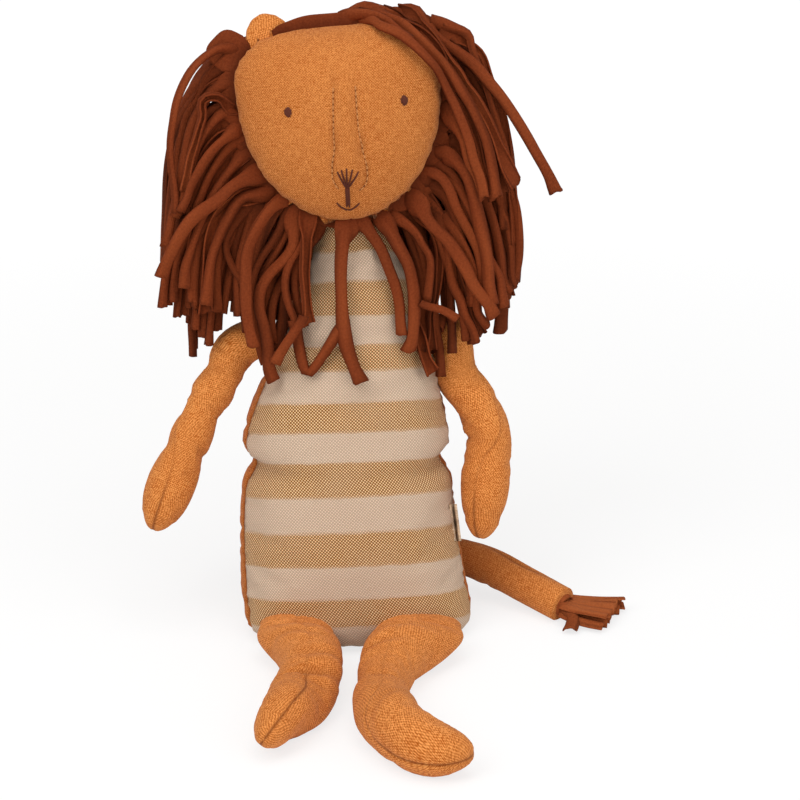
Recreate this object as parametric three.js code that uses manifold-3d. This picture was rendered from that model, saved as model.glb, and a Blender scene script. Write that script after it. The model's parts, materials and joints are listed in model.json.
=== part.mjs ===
// Sitting plush lion: striped woven body, linen head and limbs, curved tail, mane of jersey strips.
// Millimetres, +Z up. The lion looks along -Y, its left side is +X, the origin is on the floor under it.
import * as THREE from 'three';
import Module from 'manifold-3d';

const wasm = await Module();
wasm.setup();

// sewing and clearances
const cloth = 0.9;          // thickness of a panel of lined linen
const seamGap = 0.3;        // between two panels along their seam
const fillGap = 0.65;       // between a panel and the filling
const seatGap = 0.35;       // between a sewn-on piece and what carries it
const flatCut = 0.5;        // how deep a form is pressed flat where it stands
const drawBack = 0.02;      // between corners of a cut strip that meet in one spot

// body: height, half width, half depth, seam plane y, middle x
const bodyYaw = 4;
const bodyRings = [
  [0, 37, 20, -13, 1.4], [2.6, 45, 25.4, -11.4, 1.2], [8.5, 48, 29, -9.4, 0.6], [20, 48, 31, -5.4, -1.2],
  [45, 46.6, 31, -1, -3.6], [66, 45.2, 28.6, 1.4, -4.1], [88, 43.6, 27.4, 5.6, -4.4],
  [109, 37.2, 26, 10.8, -2.8], [127, 31.6, 23, 14.6, -0.6], [147, 23.2, 20, 18, 0.2],
];
const waist = { z: 73.6, nip: 4.6, spread: 5.4, front: 0.16 };
const neck = { x: -1, y: 19, z: 166, radius: 17.5, cornerBottom: 2.7, cornerTop: 2.1 };
const bodyPinch = 0.12;     // how sharply the side seams draw in
const bodyLevels = [0, 2.6, 8.5, 18, 31, 45, 57, 66, waist.z, 81, 92, 105, 119, 133, 147, 158];

// head: in its own plane, u to the lion's left, v up, n forward
const head = {
  x: -5.4, y: 8, z: 217, pitch: 8, roll: 4.9, yaw: 4,
  halfWidth: 41.8, widestAt: 11.8, above: 27, below: 52, halfDepth: 23, crown: 2.4, pinch: 0.22, swell: 0.7,
};
const ear = { angle: 122, halfWidth: 9.8, height: 9.4, halfDepth: 3.4, sink: 2.5, back: 3.6 };
const eye = { apart: 46.4, u: 1.9, v: 7.1, halfWidth: 1.15, halfHeight: 2 };
const nose = { v: -19.6, rise: 8.4, fan: 8.2, stitches: 5, drop: 6.9, u: 1.2 };
const mouth = { half: 5.4, lift: 2.6 };
const stitch = { half: 0.45, height: 0.7, clear: 0.15 };

// arms: root ball on the side seam, then bends away from the root as [out, forward, down]
const armRoot = { z: 124, radius: 8.4 };
const armWidth = [[0, 8.4], [20, 8.8], [38, 8.1], [52, 9.2], [70, 9.8], [200, 9.8]];
const armFlat = 0.88;       // depth of a limb against its width
const armRightBend = [[0, 0, 0], [15, 4, 13], [22, 9, 29], [30, 16, 47], [37, 23, 63], [42.5, 29, 76]];
const armLeftBend = [[0, 0, 0], [4.5, 4, 16], [12.5, 9, 28], [17, 13, 41], [17, 18, 56], [15.8, 25, 84]];
const handRound = 11;

// legs: flat root edge on the bottom seam, then bends as [x, forward]
const legRoot = { radius: 8, reach: 15, z: 8.2, apart: 51 };
const legEase = { right: 0.3, left: -0.4 };
const legTurn = { right: 8, left: 0 };     // how far each root edge follows the body's round front
const legHigh = [[0, 8], [12, 10.6], [24, 10.4], [38, 9.4], [50, 9.2], [66, 11.4], [88, 11.2], [200, 10.6]];
const legWide = [
  [0, 15], [10, 14.4], [28, 11.4], [42, 10.2], [54, 12], [70, 13.6], [90, 12.4], [200, 11.6],
];
const legRightBend = [[0, 0], [2, 19], [5, 37], [3, 53], [-4, 69], [-12, 84]];
const legLeftBend = [[0, 0], [-6.5, 19], [-13.5, 38], [-14.5, 58], [-7, 77], [4.5, 91], [17, 102]];
const footRound = 13;

// tail: ball at the back, then bends as [x from the root, y from the root, height]
const tail = { rootX: 2, radius: 7, tipRadius: 6.6 };
const tailBend = [[0, 0, 15], [20, 4, 16], [42, -2, 16.5], [58, -9, 13.5], [73, -21, 9.8], [88, -34.5, 6.6]];
const tuft = { strips: 9, length: 24, collar: 7, half: 2.7, thick: 1.8, spread: 24, heading: -6 };

// mane: strips cut from one jersey band; angles round the face, 0 at the lion's left, 90 on top
const strip = { half: 2.6, thick: 2.2, rootHalf: 3.2, step: 18, clear: 1.2, behind: 3.2, lap: 0.5 };
const maneShort = 64;       // strip length under the chin
const maneLong = 122;       // strip length on the crown
const maneRows = {
  mane_chin: { from: 248, to: 292, strips: 5, layer: 1, forward: 0.55, fall: 0.85 },
  mane_lower_right: { from: 203, to: 243, strips: 6, layer: 1, forward: 0.4, fall: 1.3 },
  mane_lower_left: { from: 297, to: 337, strips: 6, layer: 1, forward: 0.4, fall: 1.3 },
  mane_side_right: { from: 166, to: 199, strips: 5, layer: 2, forward: 0.1, fall: 1.1 },
  mane_side_left: { from: -19, to: 14, strips: 5, layer: 2, forward: 0.1, fall: 1.1 },
  mane_top_right: { from: 140, to: 160, strips: 4, layer: 3, forward: -0.2, fall: 0.74 },
  mane_top_left: { from: 22, to: 84, strips: 7, layer: 3, forward: -0.2, fall: 0.74 },
  mane_nape_right: { from: 182, to: 250, strips: 5, layer: 0, forward: -0.6, fall: 1.1, set: 0.72 },
  mane_nape_left: { from: -70, to: -2, strips: 5, layer: 0, forward: -0.6, fall: 1.1, set: 0.72 },
  mane_crown: { from: 28, to: 152, strips: 8, layer: 2, forward: -1.1, fall: 0.85, set: 0.8 },
};

const label = { z: 45, width: 15, out: 4.4, fold: 0.5, inner: 0.5, before: 15.5 };

const columnsBody = 16, columnsHead = 16, columnsArm = 10, columnsLeg = 10, columnsTail = 8;

// small helpers
const V = (x, y, z) => new THREE.Vector3(x, y, z);
const rad = THREE.MathUtils.degToRad;
const wander = (a, b) => {
  const s = Math.sin(a * 12.99 + b * 78.23) * 43758.55;
  return 2 * (s - Math.floor(s)) - 1;
};

// Smooth reading of a table whose first column is the key.
function read(table, key, column = 1) {
  const n = table.length;
  if (key <= table[0][0]) return table[0][column];
  if (key >= table[n - 1][0]) return table[n - 1][column];
  let i = 0;
  while (key > table[i + 1][0]) i += 1;
  const slope = (k) => {
    const a = table[Math.max(k - 1, 0)], b = table[Math.min(k + 1, n - 1)];
    return (b[column] - a[column]) / (b[0] - a[0]);
  };
  const [x0, x1] = [table[i][0], table[i + 1][0]];
  const h = x1 - x0, t = (key - x0) / h;
  const [y0, y1] = [table[i][column], table[i + 1][column]];
  return y0 * (1 + 2 * t) * (1 - t) ** 2 + slope(i) * h * t * (1 - t) ** 2
    + y1 * t * t * (3 - 2 * t) + slope(i + 1) * h * t * t * (t - 1);
}

// stuffed forms: rings between two poles. Column 0 is the seam at +side, the columns cross the
// front to the other seam and come back over the rear.
function ringPoint(row, angle) {
  const c = Math.cos(angle), s = Math.sin(angle), e = 2 / row.corner;
  const across = Math.sign(c) * Math.abs(c) ** e * row.w;
  const deep = Math.sign(s) * Math.abs(s) ** (e + row.pinch) * row.d;
  const p = row.at.clone().addScaledVector(row.side, across).addScaledVector(row.front, deep);
  if (row.floor !== undefined && p.z < row.floor) p.z = row.floor;
  return p;
}

function form(rows, columns) {
  const points = [], fronts = [];
  const id = (i, j) => (rows[i].pole ? rows[i].first : rows[i].first + ((j % columns) + columns) % columns);
  rows.forEach((row) => {
    row.first = points.length;
    if (row.pole) { points.push(row.pole.clone()); fronts.push(row.front); return; }
    for (let j = 0; j < columns; j += 1) {
      points.push(ringPoint(row, (2 * Math.PI * j) / columns));
      fronts.push(row.front);
    }
  });
  const faces = [];
  const quad = (i, j) => {
    const a = id(i, j), b = id(i, j + 1), c = id(i + 1, j + 1), d = id(i + 1, j);
    if (a !== b) faces.push([a, b, c]);
    if (c !== d) faces.push([a, c, d]);
  };
  for (let i = 0; i + 1 < rows.length; i += 1) for (let j = 0; j < columns; j += 1) quad(i, j);
  const f = { rows, columns, points, fronts, faces, id };
  if (volume(points, faces) < 0) { faces.forEach((t) => t.reverse()); f.turned = true; }
  f.normals = points.map(() => V(0, 0, 0));
  faces.forEach(([a, b, c]) => {
    const n = points[b].clone().sub(points[a]).cross(points[c].clone().sub(points[a]));
    [a, b, c].forEach((k) => f.normals[k].add(n));
  });
  f.normals.forEach((n) => n.normalize());
  return f;
}

function volume(points, faces) {
  let v = 0;
  faces.forEach(([a, b, c]) => { v += points[a].dot(points[b].clone().cross(points[c])) / 6; });
  return v;
}

// The form's surface moved in by a depth (or out, below zero), as one closed solid.
function solid(f, depth) {
  const points = f.points.map((p, k) => p.clone().addScaledVector(f.normals[k], -depth));
  return { points, faces: f.faces };
}

// One sewn panel: the columns from..to as a sheet of the cloth's thickness, half a seam gap off the seam.
function panel(f, from, to, sense) {
  const points = [], keys = new Map(), faces = [];
  const put = (i, j, layer) => {
    const k = f.id(i, j), key = `${k}/${layer}`;
    if (!keys.has(key)) {
      keys.set(key, points.length);
      points.push(f.points[k].clone().addScaledVector(f.normals[k], layer ? -cloth : 0)
        .addScaledVector(f.fronts[k], sense * seamGap / 2));
    }
    return keys.get(key);
  };
  const add = (a, b, c) => { if (a !== b && b !== c && a !== c) faces.push([a, b, c]); };
  const quad = (a, b, c, d) => { add(a, b, c); add(a, c, d); };
  const last = f.rows.length - 1;
  for (let i = 0; i < last; i += 1) {
    for (let j = from; j < to; j += 1) {
      quad(put(i, j, 0), put(i, j + 1, 0), put(i + 1, j + 1, 0), put(i + 1, j, 0));
      quad(put(i + 1, j, 1), put(i + 1, j + 1, 1), put(i, j + 1, 1), put(i, j, 1));
    }
    quad(put(i, from, 0), put(i + 1, from, 0), put(i + 1, from, 1), put(i, from, 1));
    quad(put(i, to, 1), put(i + 1, to, 1), put(i + 1, to, 0), put(i, to, 0));
  }
  if (volume(points, faces) < 0) faces.forEach((t) => t.reverse());
  return { points, faces };
}

// joining and cutting
function toSolid({ points, faces }) {
  const vertProperties = new Float32Array(points.flatMap((p) => [p.x, p.y, p.z]));
  const mesh = new wasm.Mesh({ numProp: 3, vertProperties, triVerts: new Uint32Array(faces.flat()) });
  return new wasm.Manifold(mesh);
}

function largest(body) {
  return body.decompose().sort((a, b) => b.volume() - a.volume())[0];
}

function fromSolid(body) {
  const mesh = body.getMesh(), points = [], faces = [];
  const n = mesh.numProp;
  for (let k = 0; k < mesh.vertProperties.length; k += n) {
    points.push(V(mesh.vertProperties[k], mesh.vertProperties[k + 1], mesh.vertProperties[k + 2]));
  }
  for (let k = 0; k < mesh.triVerts.length; k += 3) faces.push(Array.from(mesh.triVerts.slice(k, k + 3)));
  return { points, faces };
}

// Where two corners of a cut shape fall on one spot, each draws back a little into its own side.
function parted({ points, faces }) {
  const normals = points.map(() => V(0, 0, 0));
  faces.forEach(([a, b, c]) => {
    const n = points[b].clone().sub(points[a]).cross(points[c].clone().sub(points[a])).normalize();
    [a, b, c].forEach((k) => normals[k].add(n));
  });
  const met = (p, k) => points.some((q, i) => i !== k && p.distanceToSquared(q) < (drawBack / 3) ** 2);
  const back = (p, k) => p.clone().addScaledVector(normals[k].normalize(), -drawBack * (1 + 0.3 * (k % 7)));
  return { points: points.map((p, k) => (met(p, k) ? back(p, k) : p)), faces };
}

function cut(shape, ...tools) {
  let rest = toSolid(shape);
  tools.forEach((tool) => { rest = rest.subtract(tool); });
  return fromSolid(largest(rest.simplify(0.01)));
}

const lion = new THREE.Group();
const paint = {
  ochre: [0xc77a3c, 0.92], ochreBack: [0xbd7136, 0.92], striped: [0xcdb79b, 0.9], filling: [0xeeeae2, 1],
  mane: [0x75341a, 0.88], thread: [0x4a2a20, 0.6], tape: [0xcdb592, 0.8],
};

function place(name, shape, kind) {
  const geometry = new THREE.BufferGeometry();
  const corners = shape.points.flatMap((p) => [p.x, p.y, p.z]);
  geometry.setAttribute('position', new THREE.Float32BufferAttribute(corners, 3));
  geometry.setIndex(shape.faces.flat());
  geometry.computeVertexNormals();
  const [color, roughness] = paint[kind];
  const mesh = new THREE.Mesh(geometry, new THREE.MeshStandardMaterial({ color, roughness, metalness: 0 }));
  mesh.name = name;
  lion.add(mesh);
}

// body
const bodySide = V(Math.cos(rad(bodyYaw)), Math.sin(rad(bodyYaw)), 0);
const bodyFront = V(Math.sin(rad(bodyYaw)), -Math.cos(rad(bodyYaw)), 0);

function bodyRing(z) {
  const table = [...bodyRings, [neck.z, neck.radius, neck.radius, neck.y, neck.x]];
  const t = Math.min(1, Math.max(0, z / neck.z));
  const dome = Math.sqrt(Math.max(0, neck.radius ** 2 - Math.max(0, z - neck.z) ** 2)) / neck.radius;
  const nip = waist.nip * Math.exp(-(((z - waist.z) / waist.spread) ** 2));
  return {
    at: V(read(table, z, 4), read(table, z, 3), z), side: bodySide, front: bodyFront,
    w: (read(table, z, 1) - nip) * dome, d: (read(table, z, 2) - nip * waist.front) * dome,
    corner: neck.cornerBottom + (neck.cornerTop - neck.cornerBottom) * t ** 0.6,
    pinch: bodyPinch * (1 - t ** 4),
  };
}

function bodyForm(grow) {
  const dome = [22, 45, 68].map((a) => neck.z + neck.radius * Math.sin(rad(a)));
  const rows = [...bodyLevels, neck.z, ...dome].map(bodyRing);
  const base = rows[0].at.clone();
  rows.unshift({ pole: base, front: bodyFront });
  rows.push({ pole: V(neck.x, neck.y, neck.z + neck.radius), front: bodyFront });
  rows.forEach((r) => { if (!r.pole) { r.w += grow; r.d += grow; } });
  return form(rows, columnsBody);
}

const body = bodyForm(0);
const bodyHalf = columnsBody / 2;

// head
const headTurn = new THREE.Euler(rad(-head.pitch), rad(-head.roll), rad(head.yaw), 'ZXY');
const headSide = V(1, 0, 0).applyEuler(headTurn);
const headFront = V(0, -1, 0).applyEuler(headTurn);
const headUp = V(0, 0, 1).applyEuler(headTurn);
const headCentre = V(head.x, head.y, head.z);

const headAt = (u, v, n = 0) => headCentre.clone().addScaledVector(headSide, u)
  .addScaledVector(headUp, v).addScaledVector(headFront, n);

function headHalf(v) {
  const t = v - head.widestAt;
  const [reach, power] = t > 0 ? [head.above, head.crown] : [head.below, 2];
  const r = Math.min(1, Math.abs(t) / reach);
  return {
    w: head.halfWidth * (1 - r ** power) ** (1 / power),
    d: head.halfDepth * (1 - r ** 2.4) ** head.swell,
  };
}

const headBottom = head.widestAt - head.below, headTop = head.widestAt + head.above;

function headForm(grow) {
  const rows = [];
  const low = [0.11, 0.3, 0.5, 0.72, 0.9], high = [0, 0.25, 0.5, 0.75, 0.92];
  low.forEach((k) => rows.push(head.widestAt - head.below * Math.cos((k * Math.PI) / 2)));
  high.forEach((k) => rows.push(head.widestAt + head.above * Math.sin((k * Math.PI) / 2)));
  const rings = rows.map((v) => {
    const { w, d } = headHalf(v);
    return {
      at: headAt(0, v), side: headSide, front: headFront,
      w: w + grow, d: d + grow, corner: 2, pinch: head.pinch,
    };
  });
  rings.unshift({ pole: headAt(0, headBottom - grow), front: headFront });
  rings.push({ pole: headAt(0, headTop + grow), front: headFront });
  return form(rings, columnsHead);
}

const headSkin = headForm(0);

// The point of the face panel in front of u, v, raised off the cloth.
function facePoint(u, v, lift = 0) {
  const ray = new THREE.Ray(headAt(u, v, 2 * head.halfDepth), headFront.clone().negate()), hit = V(0, 0, 0);
  const face = headSkin.faces.find(([a, b, c]) => ray.intersectTriangle(
    headSkin.points[a], headSkin.points[b], headSkin.points[c], true, hit));
  const [a, b, c] = face.map((k) => headSkin.points[k]);
  return hit.addScaledVector(b.clone().sub(a).cross(c.clone().sub(a)).normalize(), lift);
}

// tubes and strips swept along points, four sided, closed at both ends
function sweep(points, wides, half, thick) {
  const ring = (p, wide, along, k) => {
    const flat = wide.clone().normalize(), up = along.clone().cross(flat).normalize();
    const a = Array.isArray(half) ? half[k] : half, b = (Array.isArray(thick) ? thick[k] : thick) / 2;
    return [[-a, -b], [a, -b], [a, b], [-a, b]]
      .map(([x, y]) => p.clone().addScaledVector(flat, x).addScaledVector(up, y));
  };
  const out = [], faces = [], n = points.length;
  points.forEach((p, k) => {
    const along = points[Math.min(k + 1, n - 1)].clone().sub(points[Math.max(k - 1, 0)]).normalize();
    out.push(...ring(p, wides[k], along, k));
  });
  for (let k = 0; k + 1 < n; k += 1) {
    for (let j = 0; j < 4; j += 1) {
      const a = 4 * k + j, b = 4 * k + ((j + 1) % 4);
      faces.push([a, b, b + 4], [a, b + 4, a + 4]);
    }
  }
  const e = 4 * (n - 1);
  faces.push([0, 2, 1], [0, 3, 2], [e, e + 1, e + 2], [e, e + 2, e + 3]);
  if (volume(out, faces) < 0) faces.forEach((t) => t.reverse());
  return { points: out, faces };
}

// limbs: a round or edged root, a bent middle line, a rounded tip
function limb({ line, length, wide, high, tipRound, seam, root, columns, floor }) {
  const rows = [];
  const frame = (s) => {
    const t = Math.min(1, Math.max(0, s / length));
    const along = line.getTangentAt(t);
    const side = seam.clone().addScaledVector(along, -seam.dot(along)).normalize();
    return { at: line.getPointAt(t), along, side, front: along.clone().cross(side).normalize() };
  };
  const first = frame(0);
  const rootRows = root === 'ball' ? [25, 50, 72] : [20, 45, 70];
  const r0 = root === 'ball' ? wide(0) : high(0);
  rows.push({ pole: first.at.clone().addScaledVector(first.along, -r0), front: first.front });
  rootRows.forEach((a) => {
    const at = first.at.clone().addScaledVector(first.along, -r0 * Math.cos(rad(a)));
    const k = Math.sin(rad(a)), edge = root === 'ball' ? k : 0.94 + 0.06 * k;
    rows.push({ ...first, at, w: k * high(0), d: edge * wide(0) });
  });
  const straight = length - tipRound, count = Math.round(straight / 11);
  for (let i = 0; i <= count; i += 1) {
    const s = (straight * i) / count;
    rows.push({ ...frame(s), w: high(s), d: wide(s) });
  }
  [28, 55, 75].forEach((a) => {
    const s = straight + tipRound * Math.sin(rad(a));
    rows.push({ ...frame(s), w: high(s) * Math.cos(rad(a)), d: wide(s) * Math.cos(rad(a)) });
  });
  const end = frame(length);
  rows.push({ pole: end.at.clone(), front: end.front });
  rows.forEach((r) => { if (!r.pole) { r.corner = 2.05; r.pinch = 0.1; r.floor = floor; } });
  return form(rows, columns);
}

const bodySkin = body.faces.map((face) => new THREE.Triangle(...face.map((k) => body.points[k])));

function gapToBody(p) {
  const spot = V(0, 0, 0);
  return Math.min(...bodySkin.map((t) => t.closestPointToPoint(p, spot).distanceTo(p)));
}

// Moves a root from inside the body along a direction until it lies at the wanted distance from it.
function seat(start, direction, distance) {
  let low = 0, high = 90;
  const row = bodyRing(start.z), reach = (t) => start.clone().addScaledVector(direction, t);
  const outside = (p) => {
    const q = p.clone().sub(row.at);
    return Math.hypot(q.dot(row.side) / row.w, q.dot(row.front) / row.d) > 1;
  };
  while (high - low > 0.01) {
    const t = (low + high) / 2, p = reach(t);
    if (outside(p) && gapToBody(p) > distance) high = t; else low = t;
  }
  return reach(high);
}

function armForm(sign, bend, grow) {
  const mid = bodyRing(armRoot.z);
  const centre = seat(mid.at, bodySide.clone().multiplyScalar(sign), armRoot.radius + seatGap);
  const points = bend.map(([out, fore, down]) => centre.clone().add(V(sign * out, -fore, -down)));
  const line = new THREE.CatmullRomCurve3(points, false, 'centripetal');
  const length = line.getLength();
  const wide = (s) => read(armWidth, s) + grow;
  return {
    centre, line,
    skin: limb({
      line, length, high: wide,
      wide: (s) => (s < 1 ? wide(0) : wide(s) * (armFlat + (1 - armFlat) * Math.exp(-s / 6))),
      tipRound: handRound, seam: V(sign * 0.35, -1, 0).normalize(), root: 'ball', columns: columnsArm,
    }),
  };
}

function legForm(sign, bend, turn, ease) {
  const base = bodyRing(legRoot.z);
  const start = base.at.clone().addScaledVector(bodySide, (sign * legRoot.apart) / 2);
  const outward = V(0, -1, 0);
  const edge = V(Math.cos(rad(turn)), sign * Math.sin(rad(turn)), 0);
  const forth = V(edge.y, -edge.x, 0);
  const ends = [-0.95, -0.5, 0, 0.5, 0.95].map((k) => edge.clone().multiplyScalar(k * legRoot.reach));
  const away = legRoot.radius + seamGap + ease;
  const y = Math.min(...ends.map((e) => seat(start.clone().add(e), outward, away).y - e.y));
  const centre = V(start.x, y, legRoot.z);
  const lie = (s) => read(legHigh, s) - flatCut;
  let s = 0;
  const points = bend.map(([x, fore], k) => {
    if (k) s += Math.hypot(x - bend[k - 1][0], fore - bend[k - 1][1]);
    return V(centre.x + x, centre.y - fore, k ? lie(s) : centre.z);
  });
  points.splice(1, 0, centre.clone().addScaledVector(forth, legRoot.radius));
  const line = new THREE.CatmullRomCurve3(points, false, 'centripetal');
  return {
    centre, line, edge,
    skin: limb({
      line, length: line.getLength(), wide: (d) => read(legWide, d), high: (d) => read(legHigh, d),
      tipRound: footRound, seam: V(0, 0, 1), root: 'edge', columns: columnsLeg, floor: 0,
    }),
  };
}

const arms = { right: armForm(-1, armRightBend, 0), left: armForm(1, armLeftBend, 0) };
const legs = {
  right: legForm(-1, legRightBend, legTurn.right, legEase.right),
  left: legForm(1, legLeftBend, legTurn.left, legEase.left),
};

// tail
const tailHeight = tailBend[0][2];
const tailInside = V(tail.rootX, bodyRing(tailHeight).at.y, tailHeight);
const tailStart = seat(tailInside, V(0, 1, 0), tail.radius + seatGap);
const tailPoints = tailBend.map(([x, y, z]) => V(tailStart.x + x, tailStart.y + y, z));
const tailLine = new THREE.CatmullRomCurve3(tailPoints, false, 'centripetal');
const tailLength = tailLine.getLength();
const tailRadius = (s) => tail.radius + (tail.tipRadius - tail.radius) * Math.min(1, s / tailLength);

function tailForm(inset) {
  const frame = (s) => {
    const along = tailLine.getTangentAt(Math.min(1, Math.max(0, s / tailLength)));
    const side = V(0, 0, 1).addScaledVector(along, -along.z).normalize();
    const at = tailLine.getPointAt(Math.min(1, s / tailLength));
    return { at, side, front: along.clone().cross(side), along };
  };
  const rows = [], first = frame(0), r = tail.radius - inset;
  const base = { corner: 2, pinch: 0, floor: inset };
  rows.push({ pole: first.at.clone().addScaledVector(first.along, -r), front: first.front });
  [25, 50, 72].forEach((a) => rows.push({
    ...first, ...base, at: first.at.clone().addScaledVector(first.along, -r * Math.cos(rad(a))),
    w: r * Math.sin(rad(a)), d: r * Math.sin(rad(a)),
  }));
  const end = tailLength - (inset ? 2 : 0), count = 10;
  for (let i = 0; i <= count; i += 1) {
    const s = (end * i) / count;
    rows.push({ ...frame(s), ...base, w: tailRadius(s) - inset, d: tailRadius(s) - inset });
  }
  rows.push({ pole: rows[rows.length - 1].at.clone(), front: first.front });
  return form(rows, columnsTail);
}

// The tail's cloth: its outer form less the bore, which opens at the cut end.
function tailCloth() {
  const bore = tailForm(cloth), along = tailLine.getTangentAt(1);
  bore.points.slice(bore.rows[bore.rows.length - 2].first).forEach((p) => p.addScaledVector(along, 4));
  return fromSolid(largest(toSolid(tailForm(0)).subtract(toSolid(bore))));
}

// what strips keep clear of
function pushOut(p, margin) {
  for (let pass = 0; pass < 3; pass += 1) {
    const q = p.clone().sub(headCentre);
    const u = q.dot(headSide), v = q.dot(headUp), n = q.dot(headFront);
    if (v > headBottom - margin && v < headTop + margin) {
      const shape = headHalf(Math.min(headTop - 1, Math.max(headBottom + 1, v)));
      const far = Math.hypot(u / (shape.w + margin), n / (shape.d + margin));
      if (far < 1 && far > 0.01) p.copy(headAt(u / far, v, n / far));
    }
    if (p.z < neck.z + neck.radius) {
      const row = bodyRing(Math.max(0, p.z)), d = p.clone().sub(row.at);
      const x = d.dot(row.side), y = d.dot(row.front);
      const far = Math.hypot(x / (row.w + margin), y / (row.d + margin));
      if (far < 1 && far > 0.01) {
        p.copy(row.at).addScaledVector(row.side, x / far).addScaledVector(row.front, y / far);
      }
    }
    Object.values(arms).forEach((arm) => {
      for (let k = 0; k <= 12; k += 1) {
        const c = arm.line.getPointAt(k / 12), away = p.clone().sub(c);
        const want = armRoot.radius + 1.6 + margin;
        if (away.length() < want) p.copy(c).addScaledVector(away.normalize(), want);
      }
    });
  }
  return p;
}

function faceEdge(degrees, scale = 1) {
  const c = Math.cos(rad(degrees)), s = Math.sin(rad(degrees));
  const e = s > 0 ? 2 / head.crown : 1;
  const u = head.halfWidth * Math.sign(c) * Math.abs(c) ** e;
  const v = head.widestAt + (s > 0 ? head.above : head.below) * Math.sign(s) * Math.abs(s) ** e;
  return [u * scale, head.widestAt + (v - head.widestAt) * scale];
}

// One strip of the mane: it leaves the seam outwards, gravity turns it down, the lion carries it.
function strand(row, degrees, k, grow) {
  const scale = row.set ?? 1;
  const [u, v] = faceEdge(degrees, scale), [u2, v2] = faceEdge(degrees + 4, scale);
  const back = row.set ? -headHalf(v).d * Math.sqrt(Math.max(0, 1 - (u / headHalf(v).w) ** 2)) : 0;
  const out2 = new THREE.Vector2(v2 - v, -(u2 - u)).normalize();
  const lap = k % 2 ? strip.lap : -strip.lap;
  const start = headAt(u + out2.x * 1.4, v + out2.y * 1.4,
    back + lap - (row.set ? 1.2 : strip.behind * (row.layer - 1)));
  const s = Math.sin(rad(degrees)), aside = s > 0.3 ? out2.x + 0.7 * Math.sign(out2.x) : out2.x;
  const out = headSide.clone().multiplyScalar(aside)
    .addScaledVector(headUp, out2.y > 0 ? 0.4 * out2.y : out2.y)
    .addScaledVector(headFront, row.forward + 0.12 * wander(k, 3)).normalize();
  const length = (maneShort + (maneLong - maneShort) * ((1 + s) / 2) ** 0.8) * (1 + 0.07 * wander(k, 5));
  const steps = Math.round(length / strip.step), step = length / steps;
  const points = [start], wides = [], p = start.clone(), d = out.clone();
  const lift = strip.clear + 3.4 * row.layer + 0.6 * (1 + wander(k, 9));
  for (let i = 0; i < steps; i += 1) {
    d.add(V(0.05 * wander(k, i), 0.05 * wander(i, k), -row.fall)).normalize();
    p.addScaledVector(d, step);
    pushOut(p, lift);
    d.copy(p).sub(points[points.length - 1]).normalize();
    points.push(p.clone());
  }
  const n = points.length;
  points.forEach((q, i) => {
    const along = points[Math.min(i + 1, n - 1)].clone().sub(points[Math.max(i - 1, 0)]).normalize();
    const wide = i ? wides[i - 1].clone() : along.clone().cross(headFront);
    wides.push(wide.addScaledVector(along, -wide.dot(along)).normalize());
  });
  const half = points.map((q, i) => (i < 1 ? strip.rootHalf : strip.half) + grow);
  return sweep(points, wides, half, strip.thick + 2 * grow);
}

// The sewn edge that a row of strips is cut from.
function maneBand(row, grow) {
  const points = [], wides = [], count = Math.max(4, Math.round((row.to - row.from) / 9));
  const scale = row.set ?? 1;
  for (let i = 0; i <= count; i += 1) {
    const a = row.from - 2 + ((row.to - row.from + 4) * i) / count;
    const [u, v] = faceEdge(a, scale), [u2, v2] = faceEdge(a + 3, scale);
    const back = row.set ? -headHalf(v).d * Math.sqrt(Math.max(0, 1 - (u / headHalf(v).w) ** 2)) : 0;
    const o = new THREE.Vector2(v2 - v, -(u2 - u)).normalize();
    const deep = back - (row.set ? 1.4 : strip.behind * (row.layer - 1));
    points.push(headAt(u + o.x * 1.8, v + o.y * 1.8, deep));
    const wide = headSide.clone().multiplyScalar(o.x).addScaledVector(headUp, o.y);
    wides.push(wide.addScaledVector(headFront, row.forward));
  }
  return sweep(points, wides, 2.2 + grow, strip.thick + 0.4 + 2 * grow);
}

function maneRow(row, seed, grow) {
  const parts = [toSolid(maneBand(row, grow))];
  for (let k = 0; k < row.strips; k += 1) {
    const angle = row.from + ((row.to - row.from) * (k + 0.5)) / row.strips;
    parts.push(toSolid(strand(row, angle, seed * 20 + k, grow)));
  }
  return wasm.Manifold.union(parts);
}

// the assembly
const neckCut = new THREE.SphereGeometry(neck.radius + 1, 24, 16);
neckCut.translate(neck.x, neck.y, neck.z);

function merged(geometry) {
  const corners = geometry.attributes.position, points = [], ids = [], seen = new Map(), faces = [];
  for (let k = 0; k < corners.count; k += 1) {
    const p = V(0, 0, 0).fromBufferAttribute(corners, k), key = p.toArray().map((c) => c.toFixed(4)).join();
    if (!seen.has(key)) { seen.set(key, points.length); points.push(p); }
    ids.push(seen.get(key));
  }
  const index = geometry.index ? Array.from(geometry.index.array) : [...Array(corners.count).keys()];
  for (let k = 0; k < index.length; k += 3) {
    const [a, b, c] = [ids[index[k]], ids[index[k + 1]], ids[index[k + 2]]];
    if (a !== b && b !== c && a !== c) faces.push([a, b, c]);
  }
  return { points, faces };
}

const neckTool = toSolid(merged(neckCut));

place('body_front_panel', panel(body, 0, bodyHalf, 1), 'striped');
place('body_back_panel', panel(body, bodyHalf, columnsBody, -1), 'ochreBack');
place('body_filling', solid(body, cloth + fillGap), 'filling');

place('face_panel', cut(panel(headSkin, 0, columnsHead / 2, 1), neckTool), 'ochre');
place('head_back_panel', cut(panel(headSkin, columnsHead / 2, columnsHead, -1), neckTool), 'ochreBack');
place('head_filling', cut(solid(headSkin, cloth + fillGap), neckTool), 'filling');

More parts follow.
